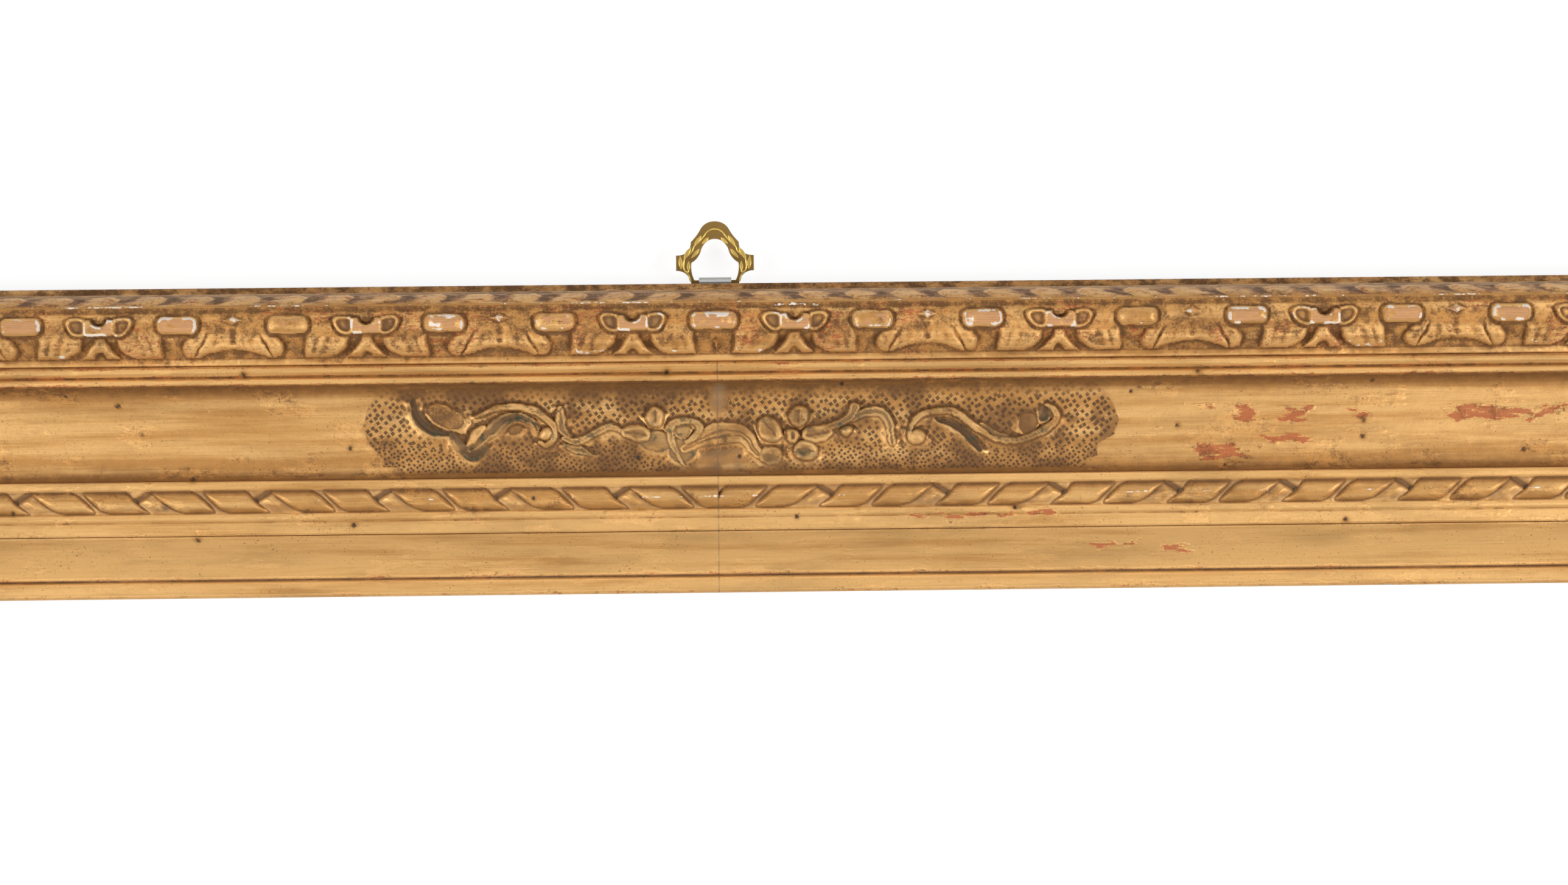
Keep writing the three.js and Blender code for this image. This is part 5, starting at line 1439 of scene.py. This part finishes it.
def gilding():
    """Old water gilding: toned gold over red clay and white gesso, worn through on the crests, with painted
    shade in the creases and painted highlights on the crests
    """
    name = "worn_gilding"
    if name in bpy.data.materials:
        return bpy.data.materials[name]
    colours = bpy.context.scene.frame_colours
    made, nodes, shader = new_material(name)
    skin = read_skin(nodes)

    # The leaf, the clay that shows where it is rubbed, and the toning, painted shade, specks and dust on it
    clay = nodes.shown(nodes.varied(nodes.varied(skin.bole, skin.smear, 1.5), skin.crumb, 0.7), RED_CLAY)
    shade = toning_and_painted_shade(nodes, skin)
    specks = nodes.group(specks_group(), {"Vector": skin.place, "Size": 0.0007, "Amount": 0.5})
    dust = nodes.shown(nodes.varied(skin.grime, skin.mottle, 0.5), DUST)
    surface = nodes.mix(clay, sound_leaf(nodes, skin, colours), colours.bole)
    surface = nodes.mix(shade, surface, colours.toning_and_shade)
    surface = nodes.mix(nodes.times(specks["Mask"], 0.6), surface, colours.toning_and_shade)
    surface = nodes.mix(nodes.shown(skin.crumb, DARK_CRUMBS), surface, colours.toning_and_shade)
    surface = nodes.mix(nodes.shown(skin.crumb, PALE_CRUMBS), surface, colours.pale_gold_and_highlight)
    surface = nodes.mix(dust, surface, colours.grime)

    # Punched ground and stain of the cartouche
    punched = punched_dots(nodes, skin)
    old = nodes.shown(skin.stain, PATINA)
    surface = nodes.mix(nodes.times(punched, 0.92), surface, colours.punch)
    surface = stained(nodes, skin, colours, surface, old)

    # Worn through: gesso, then bare wood, then the holes
    chipped = nodes.varied(nodes.varied(skin.gesso, skin.mottle, 1.1), skin.fleck, 0.7)
    white = nodes.shown(chipped, WHITE_CHIPS)
    bare = nodes.shown(nodes.varied(skin.wood, skin.mottle, 1.3), WORN_TO_WOOD)
    surface = nodes.mix(white, surface, colours.gesso)
    surface = nodes.mix(bare, surface, worn_wood(nodes, skin, colours))
    surface = nodes.mix(nodes.times(skin.hole, 0.95), surface, colours.hole)

    # Leaf is metal, and what lies on it or shows through it is not
    covered = nodes.times(nodes.most(shade, dust), 0.85)
    cover = nodes.most(white, bare, clay, skin.hole, covered, punched, old)
    rough = nodes.varied(nodes.plus(0.47, nodes.times(cover, 0.30)), skin.fleck, 0.2)
    rough = nodes.plus(rough, nodes.times(skin.battered, 0.1))

    relief = nodes.plus(nodes.times(skin.fine, 0.35), nodes.times(skin.fleck, 0.35))
    relief = nodes.plus(relief, nodes.times(skin.mottle, 0.5))
    relief = nodes.plus(relief, nodes.times(nodes.plus(skin.crumb, skin.fleck), skin.battered))
    for mask, depth in ((punched, 1.3), (skin.hole, 2.5), (clay, 0.2)):
        relief = nodes.minus(relief, nodes.times(mask, depth))

    shader["Specular IOR Level"].default_value = 0.3
    nodes.join(surface, shader["Base Color"])
    nodes.join(nodes.times(nodes.minus(1.0, cover, clamp=True), 0.50), shader["Metallic"])
    nodes.join(rough, shader["Roughness"])
    nodes.join(nodes.bump(relief, strength=0.55, distance=0.00028), shader["Normal"])
    return made


FIGURE = Layer(0.35, 0.7)
PORES = Layer(0.55, 0.7, 0.5)
DAMP_STAINS = Layer(0.45, 0.75, 0.45)
OLD_SPECKS = (0.03, 0.02, 0.012, 1)


def timber(name, light, dark, scale, roughness):
    """Planed old wood: scale stretches its grain along one axis"""
    if name in bpy.data.materials:
        return bpy.data.materials[name]
    made, nodes, shader = new_material(name)
    place = nodes.object_place()
    long = nodes.stretched(place, scale)
    figure = nodes.grain(long, detail=5, roughness=0.6)
    pores = nodes.grain(nodes.stretched(long, (2, 6, 6)), detail=3, roughness=0.7)
    stain = nodes.grain(place, scale=14, detail=4)
    specks = nodes.group(specks_group(), {"Vector": place, "Size": 0.002, "Amount": 0.4})
    surface = nodes.mix(nodes.shown(figure, FIGURE), light, dark)
    surface = nodes.mix(nodes.shown(pores, PORES), surface, dark)
    surface = nodes.mix(nodes.shown(stain, DAMP_STAINS), surface, dark)
    surface = nodes.mix(nodes.times(specks["Mask"], 0.6), surface, OLD_SPECKS)
    relief = nodes.plus(figure, nodes.times(pores, 0.7))
    nodes.join(surface, shader["Base Color"])
    nodes.join(nodes.varied(roughness, pores, 0.2), shader["Roughness"])
    nodes.join(nodes.bump(relief, strength=0.35, distance=0.0006), shader["Normal"])
    return made


TARNISH = Layer(0.42, 0.72)
BRUSH_LINES = Layer(0.5, 0.75, 0.3)
STAMPED_GROUND = Layer(-RING_FACE * 1.25, -RING_FACE)


def sheet_metal(name, light, dark, roughness, brush, shine=1.0, ground=None):
    """Sheet or wire metal with fine brush lines, tarnish and specks; the plate behind a relief can have a
    ground of its own colour"""
    if name in bpy.data.materials:
        return bpy.data.materials[name]
    made, nodes, shader = new_material(name)
    place = nodes.object_place()
    lines = nodes.grain(nodes.stretched(place, brush), detail=3, roughness=0.6)
    tarnish = nodes.grain(place, scale=180, detail=4)
    specks = nodes.group(specks_group(), {"Vector": place, "Size": 0.0006, "Amount": 0.3})
    surface = nodes.mix(nodes.shown(tarnish, TARNISH), light, dark)
    surface = nodes.mix(nodes.shown(lines, BRUSH_LINES), surface, dark)
    if ground:
        surface = nodes.mix(nodes.shown(nodes.split(place)["Y"], STAMPED_GROUND), surface, ground)
    surface = nodes.mix(nodes.times(specks["Mask"], 0.4), surface, dark)
    spread = nodes.times(nodes.minus(tarnish, 0.4), 0.4)
    shader["Metallic"].default_value = shine
    nodes.join(surface, shader["Base Color"])
    nodes.join(nodes.plus(roughness, spread), shader["Roughness"])
    nodes.join(nodes.bump(lines, strength=0.12, distance=0.0002), shader["Normal"])
    return made


def dress(names, material):
    """Gives solids of the frame a finish"""
    for name in names:
        slots = frame["nodes"][name].data.materials
        slots.clear()
        slots.append(material)


# Operators

class FRAME_OT_outer_carving(bpy.types.Operator):
    """Carved torus and leaf band on each length"""

    bl_idname = "gilded_frame.outer_carving"
    bl_label = "Outer carving"

    def execute(self, context):
        for length in LENGTHS:
            make_skin(context, length, "outer_carving", OUTER_SECTION, OUTER_BACK, outer_carving,
                      FINE_CARVING, (-1, ARRIS_AT - 0.5))
        return {"FINISHED"}


class FRAME_OT_hollow(bpy.types.Operator):
    """Beads and hollow with its punched cartouche on each length"""

    bl_idname = "gilded_frame.hollow"
    bl_label = "Hollow"

    def execute(self, context):
        for length in LENGTHS:
            make_skin(context, length, "hollow", HOLLOW_SECTION, HOLLOW_BACK, hollow, FINE_CARTOUCHE)
        return {"FINISHED"}


class FRAME_OT_ribbon(bpy.types.Operator):
    """Ribbon round a stick, and the plain band, on each length"""

    bl_idname = "gilded_frame.ribbon"
    bl_label = "Ribbon"

    def execute(self, context):
        for length in LENGTHS:
            make_skin(context, length, "ribbon", RIBBON_SECTION, RIBBON_BACK, ribbon, FINE_CARVING)
        return {"FINISHED"}


class FRAME_OT_sight_edge(bpy.types.Operator):
    """Cove and bead of the sight slips on each length"""

    bl_idname = "gilded_frame.sight_edge"
    bl_label = "Sight edge"

    def execute(self, context):
        for length in LENGTHS:
            make_skin(context, length, "sight_edge", SIGHT_SECTION, SIGHT_BACK, sight_edge, FINE_SEAM)
        return {"FINISHED"}


class FRAME_OT_woodwork(bpy.types.Operator):
    """Finish of the rails, slips, keys, plates and dowels"""

    bl_idname = "gilded_frame.woodwork"
    bl_label = "Woodwork"

    def execute(self, context):
        colours = context.scene.frame_colours
        level, upright = (12, 240, 240), (240, 240, 12)
        lying = timber("old_wood_level", colours.old_wood, colours.wood_shade, level, 0.78)
        standing = timber("old_wood_upright", colours.old_wood, colours.wood_shade, upright, 0.78)
        keys = timber("key_wood", colours.key_wood, colours.wood_shade, (60, 160, 60), 0.6)
        plates = timber("splice_wood", colours.splice_wood, colours.old_wood, level, 0.62)
        for name in frame["nodes"]:
            if "_rail" in name or "_sight_slip" in name:
                dress([name], lying if name.startswith(("top", "bottom")) else standing)
            elif "mitre_key" in name:
                dress([name], keys)
            elif "splice" in name:
                dress([name], plates)
        return {"FINISHED"}


class FRAME_OT_metalwork(bpy.types.Operator):
    """Finish of the strap, screws and pins"""

    bl_idname = "gilded_frame.metalwork"
    bl_label = "Metalwork"

    def execute(self, context):
        colours = context.scene.frame_colours
        satin = sheet_metal(
            "plated_steel", colours.plated, (0.45, 0.44, 0.42, 1), 0.45, (60, 60, 1800), shine=0.15)
        rusty = sheet_metal("dull_iron", colours.iron, (0.12, 0.055, 0.028, 1), 0.55, (900, 900, 900))
        dress(["hanger_strap", "hanger_screw_1", "hanger_screw_2"], satin)
        dress([name for name in frame["nodes"] if "plate_screw" in name or "slip_pin" in name], rusty)
        return {"FINISHED"}


def stamped_outline(curve, foot, side):
    """A closed spline that is the same on both sides, from a foot point and its right side's curves"""
    corners = [(-foot[0], foot[1]), foot, *(end for _, end in side)]
    corners += [(-x, y) for x, y in reversed(corners[2:-1])]
    bends = [None, *(bend for bend, _ in side), *((-x, y) for (x, y), _ in reversed(side))]
    spline = curve.splines.new("BEZIER")
    spline.bezier_points.add(len(corners) - 1)
    spline.use_cyclic_u = True
    for i, point in enumerate(spline.bezier_points):
        here = Vector((*corners[i], 0))
        point.co = here * MM
        for handle, bend, other in (
            ("handle_left", bends[i - 1], corners[i - 1]),
            ("handle_right", bends[i], corners[(i + 1) % len(corners)]),
        ):
            pull = Vector((*(bend or other), 0))
            share = 2 / 3 if bend else 1 / 3
            setattr(point, handle, here.lerp(pull, share) * MM)


class FRAME_OT_hanger_ring(bpy.types.Operator):
    """Stamped brass ring with stems and leaves in relief"""

    bl_idname = "gilded_frame.hanger_ring"
    bl_label = "Hanger ring"

    def execute(self, context):
        colours = context.scene.frame_colours
        curve = bpy.data.curves.new("hanger_ring_stamped", "CURVE")
        curve.dimensions = "2D"
        curve.fill_mode = "BOTH"
        curve.resolution_u = 10
        curve.extrude = (RING_HALF_THICKNESS - RING_BEVEL) * MM
        curve.bevel_depth = RING_BEVEL * MM
        curve.bevel_resolution = 2
        curve.offset = -RING_BEVEL * MM
        stamped_outline(curve, RING_FOOT, RING_SIDE)
        stamped_outline(curve, EYE_FOOT, EYE_SIDE)
        ring = bpy.data.objects.new("hanger_ring_stamped", curve)
        context.collection.objects.link(ring)
        take_only(ring)
        bpy.ops.object.convert(target="MESH")
        ring = context.object
        self.close(ring)
        parts = [self.leaf(context, *leaf, hand) for leaf in RING_LEAVES for hand in (-1, 1)]
        parts += [self.stem(context, stem, hand) for stem in RING_STEMS for hand in (-1, 1)]
        take_only(ring)
        for part in parts:
            part.select_set(True)
        bpy.ops.object.join()
        ring.data.transform(Matrix.Translation(RING_AXIS) @ Matrix.Rotation(math.pi / 2, 4, "X"))
        ring.data.materials.clear()
        ring.data.materials.append(sheet_metal(
            "bright_brass", colours.brass, colours.brass, 0.30, (700, 700, 700), shine=0.55,
            ground=colours.brass_shade))
        for polygon in ring.data.polygons:
            polygon.material_index = 0
        bpy.ops.object.shade_smooth_by_angle(angle=math.radians(45))
        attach(ring, "ring")
        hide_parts("hanger_ring")
        return {"FINISHED"}

    def close(self, piece):
        """Makes a part of the ring a closed mesh"""
        take_only(piece)
        merge_and_turn_outwards(1e-6)

    def leaf(self, context, middle, long, wide, lean, hand):
        """A pointed leaf with a sunk middle, half in the plate"""
        bpy.ops.object.select_all(action="DESELECT")
        bpy.ops.mesh.primitive_uv_sphere_add(segments=20, ring_count=12, radius=1)
        piece = context.object
        mesh = piece.data
        points = np.empty(len(mesh.vertices) * 3, np.float32)
        mesh.vertices.foreach_get("co", points)
        x, y, z = points.reshape(-1, 3).T
        taper = 1 - 0.45 * np.abs(z) ** 2
        shaped = np.stack([x * taper * wide / 2, z * long / 2, y * RING_LEAF_HEIGHT], axis=-1)
        shaped[:, 2] -= RING_LEAF_VEIN * ridge(x, 0.4) * (1 - z**2) * np.sign(y) * (np.abs(y) > 0.3)
        turn = Matrix.Rotation(math.radians(-lean * hand), 3, "Z")
        lifted = shaped @ np.array(turn).T + (middle[0] * hand, middle[1], RING_HALF_THICKNESS)
        mesh.vertices.foreach_set("co", (lifted * MM).astype(np.float32).ravel())
        mesh.update()
        self.close(piece)
        return piece

    def stem(self, context, points, hand):
        """A round stem half in the plate"""
        curve = bpy.data.curves.new("stem", "CURVE")
        curve.dimensions = "3D"
        curve.bevel_depth = RING_STEM_RADIUS * MM
        curve.bevel_resolution = 2
        curve.use_fill_caps = True
        line = smooth_line(points, 4)
        spline = curve.splines.new("POLY")
        spline.points.add(len(line) - 1)
        height = RING_HALF_THICKNESS - RING_STEM_SINK
        for point, (x, y) in zip(spline.points, line):
            point.co = (x * hand * MM, y * MM, height * MM, 1)
        piece = bpy.data.objects.new("stem", curve)
        context.collection.objects.link(piece)
        take_only(piece)
        bpy.ops.object.convert(target="MESH")
        piece = context.object
        self.close(piece)
        return piece


SOFT_WORLD = Layer(-0.4, 1.0)


class FRAME_OT_stage(bpy.types.Operator):
    """Wall, floor, lamps and camera"""

    bl_idname = "gilded_frame.stage"
    bl_label = "Stage"

    def execute(self, context):
        stage = context.scene.frame_stage
        wall_place = (0, WALL_AT, CENTRE_Z * MM)
        floor_place = (0, WALL_AT - BACKDROP_SIZE / 2, BOTTOM_EDGE * MM - FLOOR_DROP)
        bpy.ops.object.select_all(action="DESELECT")
        bpy.ops.mesh.primitive_plane_add(
            size=BACKDROP_SIZE, location=wall_place, rotation=(math.pi / 2, 0, 0))
        wall = context.object
        wall.name = "wall"
        wall.data.materials.append(self.wall_paint(stage.wall))
        bpy.ops.mesh.primitive_plane_add(size=BACKDROP_SIZE, location=floor_place)
        floor = context.object
        floor.name = "floor"
        floor.data.materials.append(self.floor_paint(stage.floor))
        self.lamps(context, stage)
        self.camera(context, stage)
        context.scene.view_settings.view_transform = "Standard"
        return {"FINISHED"}

    def wall_paint(self, colour):
        """Paint that looks white, is seen from the front only, and lets light through to the frame's back"""
        made, nodes, shader = new_material("wall_paint")
        shader["Base Color"].default_value = colour
        shader["Roughness"].default_value = 0.9
        shader["Emission Color"].default_value = WHITE
        shader["Emission Strength"].default_value = WALL_GLOW
        path = nodes.add("ShaderNodeLightPath")
        behind = nodes.add("ShaderNodeNewGeometry")["Backfacing"]
        seen = nodes.most(path["Is Camera Ray"], path["Is Glossy Ray"])
        shown = nodes.times(seen, nodes.minus(1.0, behind))
        clear = nodes.add("ShaderNodeBsdfTransparent")[0]
        paint = nodes.tree.nodes["Principled BSDF"].outputs[0]
        both = nodes.add("ShaderNodeMixShader", {0: shown, 1: clear, 2: paint})[0]
        nodes.join(both, nodes.tree.nodes["Material Output"].inputs["Surface"])
        return made

    def floor_paint(self, colour):
        """Pale paint that takes a shadow and stays bright to the camera"""
        made, nodes, shader = new_material("floor_paint")
        clouds = nodes.times(nodes.grain(nodes.object_place(), scale=3), 0.06)
        seen = nodes.add("ShaderNodeLightPath")["Is Camera Ray"]
        nodes.join(nodes.mix(clouds, colour, FLOOR_SHADE), shader["Base Color"])
        nodes.join(nodes.times(seen, FLOOR_GLOW), shader["Emission Strength"])
        shader["Emission Color"].default_value = WHITE
        shader["Roughness"].default_value = 0.8
        return made

    def lamps(self, context, stage):
        """Soft lamps all round, and a white world that lights more softly than it looks"""
        aim = Vector((0, 0, TOP_EDGE * MM - LAMP_AIM_DROP))
        for name, (place, size, share) in LAMPS.items():
            bpy.ops.object.light_add(type="AREA", location=aim + Vector(place))
            lamp = context.object
            lamp.name = f"{name}_lamp"
            lamp.data.size = size
            lamp.data.energy = stage.lamp_power * share
            lamp.rotation_euler = (-Vector(place)).to_track_quat("-Z", "Y").to_euler()
        world = bpy.data.worlds.new("studio")
        world.use_nodes = True
        nodes = Nodes(world.node_tree)
        background = world.node_tree.nodes["Background"].inputs
        seen = nodes.add("ShaderNodeLightPath")["Is Camera Ray"]
        background["Color"].default_value = WHITE
        nodes.join(nodes.shown(seen, SOFT_WORLD), background["Strength"])
        context.scene.world = world

    def camera(self, context, stage):
        """A long lens in front of the top rail"""
        target = Vector((stage.view_right, (BACK - FOCUS_HEIGHT) * MM, TOP_EDGE * MM - stage.view_drop))
        side = Vector((-math.sin(stage.yaw), -math.cos(stage.yaw), 0))
        bpy.ops.object.camera_add(location=target + side * stage.distance)
        camera = context.object
        camera.name = "camera"
        camera.data.sensor_width = SENSOR_WIDTH
        camera.data.lens = SENSOR_WIDTH * stage.distance / stage.view_width
        look = (-side).to_track_quat("-Z", "Y").to_matrix()
        camera.rotation_euler = (look @ Matrix.Rotation(-stage.roll, 3, "Z")).to_euler()
        camera.data.dof.use_dof = False
        context.scene.camera = camera


class FRAME_PT_panel(bpy.types.Panel):
    """Lists the steps of the frame"""

    bl_idname = "FRAME_PT_panel"
    bl_label = "Gilded frame"
    bl_space_type = "VIEW_3D"
    bl_region_type = "UI"
    bl_category = "Frame"

    def draw(self, context):
        for operator in OPERATORS:
            self.layout.operator(operator.bl_idname)
        for group in (context.scene.frame_sizes, context.scene.frame_colours, context.scene.frame_stage):
            box = self.layout.box()
            for name in group.__annotations__:
                box.prop(group, name)


OPERATORS = (
    FRAME_OT_outer_carving, FRAME_OT_hollow, FRAME_OT_ribbon, FRAME_OT_sight_edge, FRAME_OT_woodwork,
    FRAME_OT_metalwork, FRAME_OT_hanger_ring, FRAME_OT_stage,
)
CLASSES = (FrameSizes, FrameColours, FrameStage, *OPERATORS, FRAME_PT_panel)


def register():
    for cls in CLASSES:
        bpy.utils.register_class(cls)
    bpy.types.Scene.frame_sizes = PointerProperty(type=FrameSizes)
    bpy.types.Scene.frame_colours = PointerProperty(type=FrameColours)
    bpy.types.Scene.frame_stage = PointerProperty(type=FrameStage)


def unregister():
    del bpy.types.Scene.frame_stage
    del bpy.types.Scene.frame_colours
    del bpy.types.Scene.frame_sizes
    for cls in reversed(CLASSES):
        bpy.utils.unregister_class(cls)


def main():
    register()
    for step in ("outer_carving", "hollow", "ribbon", "sight_edge", "woodwork", "metalwork", "hanger_ring",
                 "stage"):
        getattr(bpy.ops.gilded_frame, step)()


if __name__ == "__main__":
    main()
